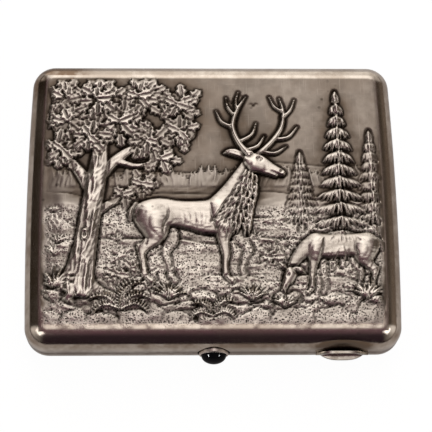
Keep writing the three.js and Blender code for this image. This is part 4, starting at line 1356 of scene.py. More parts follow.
def tuft(height, x, y, tall, blades, spread, rng, rise=0.9):
    """Grass: curved blades that fan out from one root."""
    for k in outer_first(blades, lambda k: -1 + 2 * k / (blades - 1)):
        side = -1 + 2 * k / (blades - 1) + rng.uniform(-0.12, 0.12)
        bend = -16 * side
        height = strand(height, x + side * 0.5, y, 90 - 30 * side * spread, tall * rng.uniform(0.75, 1.05),
                        0.36, (bend * 0.4, bend * 0.8, bend, bend * 1.5), rise)
    return height


def fern(height, x, y, long, lean, rise=1.0):
    """A fern frond: a curved stem with a leaflet on each side at every step."""
    turn = math.radians(lean)
    last = (x, y)
    for k in range(FERN_STEPS):
        t = (k + 1) / FERN_STEPS
        bend = turn - math.copysign(0.6, math.cos(turn)) * t * t
        px, py = x + long * t * math.cos(bend), y + long * t * math.sin(bend)
        for side in (-1, 1):
            spread = bend + side * (1.1 - 0.3 * t)
            size = long * 0.26 * math.sin(math.pi * (0.14 + 0.8 * (1 - t)))
            tip = (px + size * math.cos(spread), py + size * math.sin(spread), 0.14)
            height = stamp(height, ((px, py, 0.34), tip), rise * 0.9, groove=0.2)
        height = stamp(height, ((*last, 0.26), (px, py, 0.22)), rise, groove=0.1)
        last = (px, py)
    return height


# %% [markdown]
# A rock is no smooth dome. Its outline is uneven, and five planes at odd angles cut the dome down, so that
# they meet in soft arrises. The front of the scene is a row of such rocks, with smaller stones behind it.

# %% Rocks
PLANES = 5


def rock(height, x, y, wide, tall, rise, rng):
    """A worn rock with an uneven outline, planes that meet in soft arrises, and a matted skin."""
    turn = rng.uniform(-0.2, 0.2)
    u = ((X - x) * math.cos(turn) + (Y - y) * math.sin(turn)) / wide
    v = ((Y - y) * math.cos(turn) - (X - x) * math.sin(turn)) / tall
    seed = int(rng.integers(1000))
    broad = 0.85 * (noise(X * 1.5 / wide, Y * 1.1 / tall, seed) - 0.5)
    ripple = broad + 0.22 * (noise(X / 1.2, Y, seed + 1) - 0.5)
    far = np.clip((np.abs(u) ** 2.2 + np.abs(v) ** 2.2) ** (1 / 2.2) + ripple, 0, None)
    gap = (far - 1) * min(wide, tall)
    dome = np.clip(1 - far ** 2.0, 0, 1) ** 0.5
    planes = np.full(X.shape, 9.0)
    for k in range(PLANES):
        face = rng.uniform(0, 2 * math.pi)
        planes = np.minimum(planes, 1.0 + rng.uniform(-0.15, 0.12) - rng.uniform(0.25, 0.7)
                            * (u * math.cos(face) + v * math.sin(face)))
    shape = rise * (np.minimum(dome * 1.05, planes) - dome)
    return lay(height, (gap, dome), rise, texture=shape, groove=0.26, halo=0.4, keep=0.12, base=0.22,
               soft=0.35)


# %% [markdown]
# Where everything stands: each line gives the middle of a thing in millimetres, its size and its height.

# %% Places in the scene
STONES = [  # x, y, half width, half height, rise
    (-47.0, -29.4, 3.6, 1.9, 0.8), (-2.5, -30.4, 3.6, 1.6, 0.7), (7.5, -30.6, 5.2, 2.0, 0.8),
    (21.5, -30.8, 4.0, 1.7, 0.8), (-16.5, -30.8, 5.0, 2.1, 0.8), (33.5, -31.6, 4.8, 1.9, 0.9),
    (46.5, -31.8, 3.6, 2.0, 0.9), (-38.0, -32.0, 2.8, 1.3, 0.6), (-8.0, -33.4, 2.8, 1.3, 0.6),
    (27.0, -33.6, 2.6, 1.2, 0.6), (14.5, -33.0, 2.8, 1.2, 0.7),
    (-48.0, -38.0, 4.6, 4.4, 0.7), (-40.5, -38.8, 5.8, 4.6, 0.85), (-31.0, -38.4, 5.4, 3.4, 0.75),
    (-21.5, -38.2, 7.0, 5.0, 0.95), (-10.5, -39.0, 5.6, 4.0, 0.75), (0.5, -38.4, 7.2, 4.6, 0.95),
    (12.0, -39.2, 6.4, 4.2, 0.8), (24.5, -38.2, 7.6, 5.0, 0.95), (36.0, -39.0, 6.0, 4.4, 0.8),
    (45.5, -38.4, 5.4, 4.8, 0.85),
]
CROWNS = [  # x, y, radius, rise: the low masses of the oak first, those in front last
    (-20.5, 4.6, 3.0, 0.85), (-26.0, 1.0, 2.4, 0.8), (-15.0, 12.6, 3.6, 0.9), (-44.0, 15.4, 4.2, 1.0),
    (-9.5, 21.5, 4.2, 0.95), (-10.5, 30.5, 5.0, 1.0), (-19.5, 18.8, 4.8, 1.1), (-43.6, 32.6, 4.6, 1.0),
    (-22.0, 33.0, 5.6, 1.15), (-42.6, 24.6, 5.2, 1.2), (-27.5, 24.5, 6.2, 1.3), (-34.5, 32.0, 6.0, 1.3),
    (-36.4, 20.0, 4.6, 1.3),
]
BUSH_RISE = 0.95
BUSHES = [(-23.5, -22.0, 3.0), (-27.4, -23.6, 2.4), (-19.4, -24.0, 2.2), (18.0, -18.5, 2.0)]  # x, y, radius
FIRS = [  # x, foot, top, half width, rise, tiers
    (26.0, -10, 15, 4.4, 0.8, 9), (47.0, -14, 22, 5.4, 0.85, 10), (37.5, -21, 35, 8.6, 1.35, 13),
]
TUFTS = [  # x, y, height, blades, spread
    (-46.0, -27.5, 6.5, 9, 1.4), (-13.0, -31.0, 6.0, 9, 1.3), (11.0, -31.5, 5.6, 8, 1.3),
    (44.5, -31.0, 7.0, 9, 1.4), (20.5, -33.5, 4.6, 8, 1.3),
]
FRONDS = [  # x, y, length, lean in degrees
    (-27.0, -34.0, 8.5, 58), (-27.5, -34.0, 8.5, 124), (-27.2, -34.2, 7.6, 152), (-26.8, -34.2, 7.6, 30),
    (-27.2, -34.0, 9.6, 88), (0.0, -36.0, 7.0, 70), (-0.4, -36.0, 6.6, 115), (-0.2, -36.2, 6.0, 30),
    (-0.6, -36.2, 6.0, 152),
]
BIRDS = [(6.0, 31.0), (9.6, 32.8), (12.6, 30.2)]
print("places:", len(STONES), "stones,", len(CROWNS), "crowns,", len(TUFTS), "tufts,", len(FRONDS), "fronds")

# %% [markdown]
# The picture is built up from the back: bare sky, three lines of hills, a far wood and the ground with its
# banks. Near its border all of it sinks away, as a chased scene does at the edge of its panel.

# %% Distance and ground
HILL_LINES = [(9.5, 3.2, 17, 0.14), (5.6, 2.2, 12, 0.22), (0.5, 1.8, 15, 0.32)]  # crest, swing, wave, rise
BANK_LINES = [(-7.5, 2.0, 13), (-13.5, 2.4, 10), (-19.5, 2.2, 12), (-25.0, 1.8, 9)]  # crest, swing, wave
FAR_TREES = 80
SMALL_TUFTS = 34


def crest_line(crest, swing, wave, k, shift, seed):
    """The height of a wavy line over every column of the grid."""
    return crest + swing * (noise(X / wave + shift * k, X * 0 + k, seed + k) - 0.5) * 2


def add_hills(height):
    for k, (crest, swing, wave, rise) in enumerate(HILL_LINES):
        below = crest_line(crest, swing, wave, k, 3, 20) - Y
        edge = smooth(-0.12, 0.12, below)
        hatch = 0.12 * (streaks(3 + 4 * k, 5.0, 0.62, 30 + k) + 0.5) * smooth(9, 1, below)
        height = height - 0.16 * fading(-below, 0.35)
        height = height * (1 - edge) + (rise + hatch) * edge
    return height


def add_far_wood(height, rng):
    treetops = np.full(X.shape, -FAR_AWAY)
    for k in range(FAR_TREES):
        x, y, tall = -51 + k * 1.3 + rng.uniform(-0.5, 0.5), 6.6, rng.uniform(1.4, 4.6)
        treetops = np.maximum(treetops, y + tall - np.abs(X - x) * (2.4 + 0.5 * np.sin(9 * Y)))
    inside = smooth(-0.2, 0.2, treetops - Y) * smooth(3.2, 4.2, Y)
    height = height - 0.14 * fading(Y - treetops, 0.4) * smooth(3.2, 4.2, Y)
    return height * (1 - inside) + (0.36 + 0.16 * streaks(90, 2.0, 0.55, 25)) * inside


def add_ground(height):
    ground = smooth(1.5, -3.5, Y)
    height = height + ground * (0.26 * noise(X / 6.5, Y / 2.6, 40) + 0.22 * (streaks(-4, 4.2, 0.8, 41) + 0.5))
    for k, (crest, swing, wave) in enumerate(BANK_LINES):
        below = crest_line(crest, swing, wave, k, 5, 45) - Y
        there = smooth(0.30, 0.55, noise(X / 14 + 2 * k, X * 0 + 3 * k, 49 + k))
        bank = 0.26 * np.exp(-np.clip(below, 0, None) / 2.4) * smooth(-0.15, 0.15, below)
        height = height + there * (bank - 0.16 * BITE * np.exp(-((below + 0.3) / 0.35) ** 2))
    return height


def sink_at_border(height):
    edge_of_flat = np.minimum(PANEL_X - np.abs(X), PANEL_Y - np.abs(Y))
    return height * smooth(-1.6, 5.6, edge_of_flat - 1.6 * noise(X / 3.1, Y / 3.1, 91))


# %% [markdown]
# An old oak frames the picture on the left. Its trunk with three roots and its boughs are rods with streaks
# for bark, and a dark hole where a branch broke off is punched into the trunk.

# %% Oak
def add_oak(height):
    bark = 0.5 * streaks(84, 5.0, 0.75, 50) + 0.2 * streaks(60, 2.0, 0.5, 51)
    trunk = join(
        limb((-39.5, -27.5, 5.4), (-38.6, -22.5, 4.1), (-37.0, -14, 3.4), (-35.6, -4, 3.1), (-34.0, 8, 2.9),
             (-33.0, 19, 1.9)),
        limb((-39.0, -26.0, 3.0), (-43.5, -28.8, 1.9), (-48.0, -29.8, 0.8)),
        limb((-38.5, -25.5, 2.9), (-33.5, -28.6, 1.8), (-28.5, -30.0, 0.7)),
        limb((-39.2, -26.0, 2.8), (-39.6, -30.0, 1.8), (-39.0, -32.0, 0.9)), blend=1.6)
    boughs = join(
        limb((-34.6, 1.0, 2.3), (-38.4, 7.5, 1.8), (-43.0, 13.5, 1.2), (-46.5, 21.0, 0.7)),
        limb((-34.0, 6.0, 2.1), (-28.5, 12.5, 1.6), (-21.0, 17.5, 1.1), (-12.5, 22.0, 0.6)),
        limb((-35.4, -5.5, 1.7), (-30.6, -2.0, 1.2), (-25.4, 0.6, 0.8), (-20.5, 4.0, 0.4)),
        limb((-28.5, 12.0, 1.2), (-22.4, 10.4, 0.8), (-16.5, 12.0, 0.4)), blend=1.0)
    height = lay(height, boughs, 1.2, texture=0.3 * streaks(45, 4.0, 0.6, 52))
    height = lay(height, trunk, 1.6, texture=bark, base=0.36)
    height = stamp(height, ((-37.4, -12.4, 1.0), (-37.2, -10.6, 1.0)), 1.8)
    return crease(height, (-37.35, -12.0, 0.9), (-37.25, -11.0, 1.0), depth=0.7, width=0.5)


# %% [markdown]
# Bare ground and rocks are matted: struck all over with a small punch, so that they look rough and pale
# between the smooth figures. The punch marks are geometry here, and the mask goes on to the finish as well.

# %% Matting
def matted_part(height, before_rocks):
    """How matted each cell is: the rocks, and the ground that nothing covers."""
    rocky = smooth(0.02, 0.3, np.abs(height - before_rocks)) * smooth(-24, -28, Y)
    bare = smooth(-1.0, -4.5, Y) * smooth(0.95, 0.62, height)
    patches = 0.55 + 0.75 * (noise(X / 4.6, Y / 2.6, 73) - 0.3)
    return np.clip(np.maximum(rocky, bare) * patches, 0, 1)


def punch(height, matted):
    punched = smooth(0.46, 0.80, noise(X / 0.44, Y / 0.44, 70))
    return height + matted * (0.10 * (noise(X / 0.9, Y / 0.8, 71) - 0.5) - 0.17 * punched)


# %% [markdown]
# Everything is put together from the back to the front.

# %% The whole scene
def relief_field():
    """The height of the relief over the lid in mm, and how matted each point is."""
    rng = np.random.default_rng(7)
    height = 0.04 * noise(X / 9, Y / 9, 3) + 0.02 * noise(X / 2.2, Y / 2.2, 4)
    height = add_far_wood(add_hills(height), rng)
    height = sink_at_border(add_ground(height))
    for k in range(SMALL_TUFTS):
        x, y = rng.uniform(-48, 48), rng.uniform(-24, -3)
        height = tuft(height, x, y, 1.6 + 0.10 * abs(y), 5, 1.0, rng, 0.55 + 0.012 * abs(y))
    for x, foot, top, half_width, rise, tiers in FIRS:
        height = fir(height, x, foot, top, half_width, rise, rng, tiers)
    height = add_oak(height)
    for x, y, radius, rise in CROWNS + [(*bush, BUSH_RISE) for bush in BUSHES]:
        height = foliage(height, x, y, radius, rise, rng)
    height = stag(height, -8.0, -26.0, 1.18)
    height = doe(height, 38.0, -29.5, 0.86, -1)
    before_rocks = height.copy()
    for x, y, wide, tall, rise in STONES:
        height = rock(height, x, y, wide, tall, rise, rng)
    matted = matted_part(height, before_rocks)
    height = punch(height, matted)
    for x, y, tall, blades, spread in TUFTS:
        height = tuft(height, x, y, tall, blades, spread, rng, 1.35)
    for x, y, long, lean in FRONDS:
        height = fern(height, x, y, long, lean, 1.45)
    for x, y in BIRDS:
        height = crease(height, (x - 1.4, y + 0.5, 0.3), (x - 0.6, y + 0.75, 1.0), (x, y, 1.0), depth=0.2)
        height = crease(height, (x, y, 1.0), (x + 0.7, y + 0.8, 1.0), (x + 1.5, y + 0.5, 0.3), depth=0.2)
    return height, matted


# %% [markdown]
# The heights are set on the lid's top, which they follow a little way down its rounded edges. At the border
# they fade to a hair above the lid, and towards the front, where a hand holds the case, they are worn down.
# Four masks go with each point for the finish: hollow, rubbed, matted and handled.

# %% Shape and wear of the relief
ROOT = 0.62  # how deep the relief's underside lies
DEEPEST = -0.36
HAIR = 0.02  # how far over the lid the lowest point of the relief's border lies


def beyond_flat(x, y):
    """How far a point lies outside the flat of the lid's top, whose short sides are bowed."""
    corner = CORNER_RADIUS - EDGE_RADIUS
    bow = SIDE_BOW * np.clip(1 - (y / (BACK - CORNER_RADIUS)) ** 2, 0, 1)
    dx = np.abs(x) - (PANEL_X + bow - corner)
    dy = np.abs(y) - (PANEL_Y - corner)
    return np.hypot(np.clip(dx, 0, None), np.clip(dy, 0, None)) + np.minimum(np.maximum(dx, dy), 0) - corner


def bowed_x():
    """The grid's x, swelled like the lid's short sides."""
    share = np.clip(np.abs(X) / HALF_LENGTH, 0, 1)
    bow = SIDE_BOW * np.clip(1 - (Y / (BACK - CORNER_RADIUS)) ** 2, 0, 1)
    return X + np.sign(X) * bow * share * share * (3 - 2 * share)


def wear_down(height, at_front, ragged):
    """The relief as it was new and as it is: faded at its border, and worn towards the front."""
    new = height * smooth(0.9, -1.4, ragged)
    worn = height * smooth(0.9, -3.2, ragged) * (0.45 + 0.55 * smooth(-2, -15, ragged))
    return new, new * (1 - at_front) + worn * at_front


def finish_masks(new, height, matted, outside, at_front, ragged, x):
    """How hollow, rubbed, matted and handled each point is, from 0 to 1."""
    hollow = 0.92 * np.clip((blurred(new, 1.15) - new - 0.03) / 0.42, 0, 1)
    hollow = np.clip(hollow + 0.5 * np.clip((blurred(new, 0.4) - new - 0.01) / 0.13, 0, 1), 0, 1)
    hollow = hollow * (1 - at_front * smooth(-2.2, -0.6, ragged))
    rubbed = np.clip(0.16 + 1.2 * (height - blurred(height, 2.6)) + 0.30 * height, 0, 1)
    at_side = smooth(-0.5, 0.5, (np.abs(x) - PANEL_X) - (np.abs(Y) - PANEL_Y))
    handled = smooth(0.15, 0.60, outside - 0.55 * at_side + 1.2 * at_front)
    return hollow, rubbed, matted * smooth(1.0, -0.9, ragged), handled


# %% [markdown]
# The grid of heights becomes a mesh of four-sided faces, and the masks go onto its points. Its open border is
# drawn down to a flat underside inside the let-in top, which makes the relief a closed solid of its own.

# %% Relief piece
def grid_faces():
    wide = COLUMNS + 1
    corner = (np.arange(ROWS)[:, None] * wide + np.arange(COLUMNS)[None, :]).ravel()
    return np.stack([corner, corner + 1, corner + wide + 1, corner + wide], axis=1).tolist()


def paint_masks(mesh, hollow, rubbed, matted, handled):
    marks = mesh.color_attributes.new("finish", "FLOAT_COLOR", "POINT")
    colours = np.dstack([hollow, rubbed, matted, np.ones_like(hollow)]).reshape(-1)
    marks.data.foreach_set("color", colours.astype(np.float32))
    mask = mesh.attributes.new("handled", "FLOAT", "POINT")
    mask.data.foreach_set("value", handled.ravel().astype(np.float32))


def close_underside(piece, level):
    """Draws the open border straight down to a level and closes it there."""
    take_up(piece)
    bpy.ops.object.mode_set(mode="EDIT")
    bpy.ops.mesh.select_mode(type="EDGE")
    bpy.ops.mesh.select_all(action="DESELECT")
    bpy.ops.mesh.select_non_manifold()
    bpy.ops.mesh.extrude_edges_move()
    bpy.ops.transform.resize(value=(1, 1, 0), center_override=(0, 0, level * MM))
    bpy.ops.mesh.edge_face_add()
    bpy.ops.mesh.select_all(action="SELECT")
    bpy.ops.mesh.normals_make_consistent(inside=False)
    bpy.ops.object.mode_set(mode="OBJECT")


def make_relief():
    height, matted = relief_field()
    height = blurred(np.clip(height, DEEPEST, RELIEF_HIGHEST - 0.04), 0.10)
    x = bowed_x()
    outside = beyond_flat(x, Y)
    at_front = smooth(-30, -38, Y)
    ragged = outside + 1.2 * (noise(X / 1.7, Y / 1.7, 90) - 0.3)
    new, height = wear_down(height, at_front, ragged)
    drop = EDGE_RADIUS - np.sqrt(EDGE_RADIUS ** 2 - np.clip(outside, 0, None) ** 2)
    points = np.dstack([x, Y, TOP - drop + HAIR + height]).reshape(-1, 3) * MM
    piece = add_mesh("lid_relief", points, faces=grid_faces())
    paint_masks(piece.data, *finish_masks(new, height, matted, outside, at_front, ragged, x))
    close_underside(piece, TOP - ROOT)
    smooth_shade(piece, 75)
    print("relief from", round(height.min(), 2), "to", round(height.max(), 2), "mm")
    return piece


finish_piece(make_relief(), "lid", "silver", RELIEF_SILVER, "lid_shell")

# %% [markdown]
# ## The push button
# The button is turned: a bezel with a polished lip, a domed black cabochon that sits in it, and a stem behind
# that is riveted through the spring. Each is half an outline, spun round the button's axis.

# %% Turned pieces
def add_turned(name, outline, middle_x, sides=96):
    """Spins an outline of (radius, distance from the front of the case) about an axis along Y."""
    points = [((middle_x + radius) * MM, (FRONT + depth) * MM, SEAM * MM) for radius, depth in outline]
    piece = add_mesh(name, points, edges=[(k, k + 1) for k in range(len(points) - 1)])
    pick(piece, "VERT", lambda p, n: True)
    bpy.ops.mesh.spin(steps=sides, angle=2 * math.pi, axis=(0, 1, 0),
                      center=(middle_x * MM, FRONT * MM, SEAM * MM), use_auto_merge=True)
    bpy.ops.mesh.select_all(action="SELECT")
    bpy.ops.mesh.remove_doubles(threshold=0.002 * MM)
    bpy.ops.mesh.normals_make_consistent(inside=False)
    bpy.ops.object.mode_set(mode="OBJECT")
    return piece


def arc(middle, radius, start, end, steps):
    """Points on an arc, angles in degrees."""
    turns = [math.radians(start + (end - start) * k / steps) for k in range(steps + 1)]
    return [(middle[0] + radius * math.cos(t), middle[1] + radius * math.sin(t)) for t in turns]


# %% [markdown]
# The bezel has a rolled lip round the stone. The dome of the stone follows a quarter of an ellipse, and its
# top stands a little before the lip.

# %% Button
bezel_low, bezel_high = box_mm("button_bezel")
stone_low, stone_high = box_mm("button_cabochon")
stem_low, stem_high = box_mm("button_stem")
BEZEL_RADIUS = (bezel_high[0] - bezel_low[0]) / 2
STONE_RADIUS = (stone_high[0] - stone_low[0]) / 2
bezel_front, bezel_back = bezel_low[1] - FRONT, bezel_high[1] - FRONT
stone_front, stone_back = stone_low[1] - FRONT, stone_high[1] - FRONT
MOUTH = STONE_RADIUS + SOLDER
LIP_WALL = BEZEL_RADIUS - MOUTH
OUTER_ROLL, INNER_ROLL = LIP_WALL * 0.62, LIP_WALL * 0.2
DOME_STEPS = 24

bezel = add_turned("button_bezel_look", [
    (0, bezel_back), (BEZEL_RADIUS - 0.1, bezel_back), (BEZEL_RADIUS, bezel_back - 0.1),
    *arc((BEZEL_RADIUS - OUTER_ROLL, bezel_front + OUTER_ROLL), OUTER_ROLL, 0, -90, 8),
    *arc((MOUTH + INNER_ROLL, bezel_front + INNER_ROLL), INNER_ROLL, -90, -180, 5),
    (MOUTH, stone_back + SOLDER), (0, stone_back + SOLDER)], 0)
finish_piece(bezel, "button", "gilt", BEZEL_WORN_AND_PAINTED_LIGHT, "button_bezel")
smooth_shade(bezel)

dome_rise = bezel_front - stone_front
dome_turns = [math.pi / 2 * k / DOME_STEPS for k in range(DOME_STEPS + 1)]
stone = add_turned("button_stone", [
    (0, stone_back), (STONE_RADIUS, stone_back),
    *[(STONE_RADIUS * math.cos(t), bezel_front - dome_rise * math.sin(t)) for t in dome_turns]], 0, 128)
finish_piece(stone, "button", "black_stone", BLACK_STONE, "button_cabochon")
smooth_shade(stone)

# %% [markdown]
# The photograph shows two narrow glints in the stone, one at each side. Each comes from a tall lamp that
# lights the stone alone.

# %% Glints in the stone
light_only(add_lamp("stone_glint_left", (-0.70, -0.55, 0.44), 0.80, 0.44, 42.0, 58, 0.16), stone)
light_only(add_lamp("stone_glint_right", (0.70, -0.55, 0.44), 0.80, 0.32, 19.0, -58, 0.20), stone)

# %% [markdown]
# The stem is a pin with a shoulder. Its neck goes through the leaf of the spring, and its end is hammered to
# a domed head behind it. The two rivets of the catch are made by the same function later.

# %% Stem
STEM_RADIUS = (stem_high[0] - stem_low[0]) / 2
SPRING_LOW, SPRING_HIGH = box_mm("catch_spring")
LEAF_SHEET = 0.5
LEAF_FRONT = SPRING_HIGH[1] - LEAF_SHEET - FRONT
NECK = STEM_RADIUS - 0.4
HEAD_STEPS = 10
HEAD_RIM = 0.25  # the share of the head's height that its upright rim takes


def turned_pin(name, radius, neck, start, end, middle_x):
    """A pin with a shoulder before the leaf of the spring, a neck through it and a domed head behind."""
    shoulder, head = LEAF_FRONT - SOLDER, LEAF_FRONT + LEAF_SHEET + SOLDER
    rise = end - head
    turns = [math.pi / 2 * k / HEAD_STEPS for k in range(HEAD_STEPS + 1)]
    dome = [(radius * math.cos(t), head + rise * (HEAD_RIM + (1 - HEAD_RIM) * math.sin(t))) for t in turns]
    return add_turned(name, [(0, start), (radius, start), (radius, shoulder), (neck, shoulder), (neck, head),
                             (radius, head), *dome], middle_x, 48)


stem = turned_pin("button_stem_look", STEM_RADIUS, NECK, bezel_back + SOLDER, stem_high[1] - FRONT, 0)
finish_piece(stem, "button", "bright_silver", BRIGHT_SILVER, "button_stem")
smooth_shade(stem)

# %% [markdown]
# ## Thumb lips
# The base has a crescent ledge and the lid a low lens-shaped lip. A thumb on one and a finger on the other
# part the trays. Both are slices of a disc, so each starts as one and keeps only what stands before the wall.

# %% Thumb ledge and lip
def round_corners(piece, radius, segments=4, degrees=40):
    use(piece, "BEVEL", width=radius * MM, segments=segments, limit_method="ANGLE",
        angle_limit=math.radians(degrees))
    smooth_shade(piece)


def lens(name, low, high, rise_axis, fullness):
    """A disc drawn out into a long lens with full ends, of which the half beyond the wall or seam is kept."""
    half, middle = (high[0] - low[0]) / 2, (high[0] + low[0]) / 2
    if rise_axis == "Y":
        rise = high[1] - low[1]
        piece = add_rod(name, 1, (middle, high[1], low[2]), high[2] - low[2], "Z", 180)
        keep = dict(plane_co=(0, (high[1] + 0.02) * MM, 0), plane_no=(0, 1, 0), clear_outer=True)
    else:
        rise = high[2] - low[2]
        piece = add_rod(name, 1, (middle, low[1], low[2]), high[1] - low[1], "Y", 180)
        keep = dict(plane_co=(0, 0, (low[2] - 0.02) * MM), plane_no=(0, 0, 1), clear_inner=True)
    for vertex in piece.data.vertices:
        side = min(1.0, max(-1.0, vertex.co.x / MM - middle))
        lift = (1 - abs(side) ** fullness) * rise
        vertex.co.x = (middle + side * half) * MM
        if rise_axis == "Y":
            vertex.co.y = (high[1] + math.copysign(lift, vertex.co.y / MM - high[1])) * MM
        else:
            vertex.co.z = (low[2] + math.copysign(lift, vertex.co.z / MM - low[2])) * MM
    pick(piece, "VERT", lambda p, n: True)
    bpy.ops.mesh.bisect(use_fill=True, threshold=0.001 * MM, **keep)
    bpy.ops.object.mode_set(mode="OBJECT")
    return piece


ledge_low, ledge_high = box_mm("base_thumb_ledge")
ledge = lens("thumb_ledge", ledge_low, ledge_high, "Y", 3.0)
round_corners(ledge, 0.34, 5)
finish_piece(ledge, "base", "bright_silver", BRIGHT_SILVER, "base_thumb_ledge")

lip_low, lip_high = box_mm("lid_thumb_lip")
LIP_RISE = 2.25
lip = lens("thumb_lip", lip_low, (lip_high[0], lip_high[1], lip_low[2] + LIP_RISE), "Z", 3.4)
round_corners(lip, 0.28, 5)
finish_piece(lip, "lid", "bright_silver", BRIGHT_SILVER, "lid_thumb_lip")

# %% [markdown]
# ## The hinge
# Nine knuckles stand in one line along the back, five on the base and four on the lid. A steel pin runs
# through them and a silver plug closes each end. Behind the knuckles a strip stiffens each wall.

# %% Hinge
KNUCKLE_BORE = 0.75


def make_knuckle(node, body):
    low, high = box_mm(node)
    radius = (high[1] - low[1]) / 2
    piece = add_rod(node + "_look", radius, (low[0], BACK, SEAM), high[0] - low[0], "X", 64)
    cut_away(piece, add_rod("bore", KNUCKLE_BORE, (low[0] - 1, BACK, SEAM), high[0] - low[0] + 2, "X", 48))
    round_corners(piece, 0.14, 3)
    return finish_piece(piece, body, "silver", BRIGHT_SILVER, node)


for number in range(1, 6):
    make_knuckle(f"base_knuckle_{number}", "base")
for number in range(1, 5):
    make_knuckle(f"lid_knuckle_{number}", "lid")

for node, material, slot_name in [
    ("hinge_pin", STEEL, "spring_steel"),
    ("hinge_plug_left", BRIGHT_SILVER, "silver"),
    ("hinge_plug_right", BRIGHT_SILVER, "silver"),
]:
    low, high = box_mm(node)
    rod = add_rod(node + "_look", (high[1] - low[1]) / 2, (low[0], BACK, SEAM), high[0] - low[0], "X", 48)
    round_corners(rod, 0.16, 4)
    finish_piece(rod, "base", slot_name, material, node)

for node, body in [("base_hinge_bearer", "base"), ("lid_hinge_bearer", "lid")]:
    low, high = box_mm(node)
    strip = add_block(node + "_look", low, high)
    cut_away(strip, gallery_cutter(64))
    round_corners(strip, 0.12, 3)
    finish_piece(strip, body, "gilt", GILT, node)

# %% [markdown]
# ## The closing rim
# A strip stands up inside the wall of the base, and the lid shuts over it. It is a ring cut from the same
# cushion shape as the trays, a little smaller, and it leaves the button and the back free.

# %% Closing rim
RIM_SHEET = 0.6
BEYOND = 80  # millimetres, outside the case on every side
OVER_TOP = 20


def make_rim(node, side):
    low, high = box_mm(node)
    inset = RIGHT - max(abs(low[0]), abs(high[0]))
    piece = cushion(node + "_look", inset, low[2], high[2])
    inner = cushion("inner", inset + RIM_SHEET, low[2] - 1, high[2] + 1)
    near, far = sorted((min(abs(low[0]), abs(high[0])) * side, -BEYOND * side))
    middle = add_block("middle", (near, -60, 0), (far, 60, OVER_TOP))
    behind = add_block("behind", (-BEYOND, high[1], 0), (BEYOND, BEYOND, OVER_TOP))
    cut_away(piece, inner, middle, behind)
    round_corners(piece, 0.16, 3)
    return finish_piece(piece, "base", "gilt", GILT, node)


make_rim("base_rim_left", -1)
make_rim("base_rim_right", 1)

# %% [markdown]
# ## The catch
# A leaf spring runs behind the front wall. Its root is riveted to a block, the button pushes its middle, and
# a nose beside the button hooks over a small plate in the lid.

# %% Catch
block_low, block_high = box_mm("catch_block")
block_piece = add_block("catch_block_look", block_low, block_high)
round_corners(block_piece, 0.15, 3)
finish_piece(block_piece, "base", "gilt", GILT, "catch_block")

rivet_places = []
for node in ("catch_rivet_1", "catch_rivet_2"):
    low, high = box_mm(node)
    middle_x = (low[0] + high[0]) / 2
    rivet_places.append(middle_x)
    rivet = turned_pin(node + "_look", (high[0] - low[0]) / 2, (high[0] - low[0]) / 4, LEAF_FRONT - 0.2,
                       high[1] - FRONT, middle_x)
    smooth_shade(rivet)
    finish_piece(rivet, "base", "bright_silver", BRIGHT_SILVER, node)

keeper_low, keeper_high = box_mm("lid_keeper")
keeper = add_block("lid_keeper_look", keeper_low, keeper_high)
round_corners(keeper, 0.14, 3)
finish_piece(keeper, "lid", "gilt", GILT, "lid_keeper")

NOSE_HALF = 1.5
NOSE_RISE = 0.7
HOLE_RADIUS = 0.65  # of the two rivets' holes in the leaf
nose_x = (keeper_low[0] + keeper_high[0]) / 2
nose_foot = SPRING_HIGH[2] - NOSE_RISE
leaf_front = FRONT + LEAF_FRONT
leaf_top = 2 * SEAM - SPRING_LOW[2]


def draw_out(x, y, z):
    """Extrudes the faces that are picked, by a way in millimetres."""
    bpy.ops.mesh.extrude_region_move(TRANSFORM_OT_translate={"value": (x * MM, y * MM, z * MM)})


def make_spring():
    spring = add_block("catch_spring_look", (SPRING_LOW[0], leaf_front, SPRING_LOW[2]),
                       (SPRING_HIGH[0], SPRING_HIGH[1], leaf_top))
    cut_planes(spring, "X", spread(SPRING_LOW[0], nose_x - NOSE_HALF, 1.2)[1:] + [nose_x + NOSE_HALF])
    pick(spring, "FACE", lambda middle, normal: normal.z > 0.9 and abs(middle.x - nose_x) < NOSE_HALF)
    draw_out(0, 0, nose_foot - leaf_top)
    draw_out(0, 0, NOSE_RISE)
    bpy.ops.object.mode_set(mode="OBJECT")
    pick(spring, "FACE", lambda middle, normal: normal.y < -0.9 and middle.z > nose_foot)
    draw_out(0, SPRING_LOW[1] - leaf_front, 0)
    bpy.ops.object.mode_set(mode="OBJECT")
    for vertex in spring.data.vertices:
        if vertex.co.y / MM < leaf_front - 0.1 and vertex.co.z / MM > nose_foot + 0.1:
            vertex.co.z = (nose_foot + NOSE_RISE / 3) * MM
    holes = [(0, NECK + SOLDER)] + [(x, HOLE_RADIUS) for x in rivet_places]
    cut_away(spring, *[add_rod("hole", radius, (x, leaf_front - 1, SEAM), 3, "Y", 40) for x, radius in holes])
    round_corners(spring, 0.07, 2)
    return spring


spring = make_spring()
spring.data.materials.append(STEEL)
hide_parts("catch_spring")
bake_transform(spring)

# %% [markdown]
# ## Elastic bands and staples
# A woven elastic band crosses each tray and holds the cigarettes down. A loop at each of its ends goes round
# a wire staple. The band is a strip along a path, thickened to the weave's real thickness.

# %% Bands
BAND_THICK = 0.7
RIB = 0.72  # from one cord of the weave to the next
RIB_RISE = 0.05
ROWS_ACROSS = 55


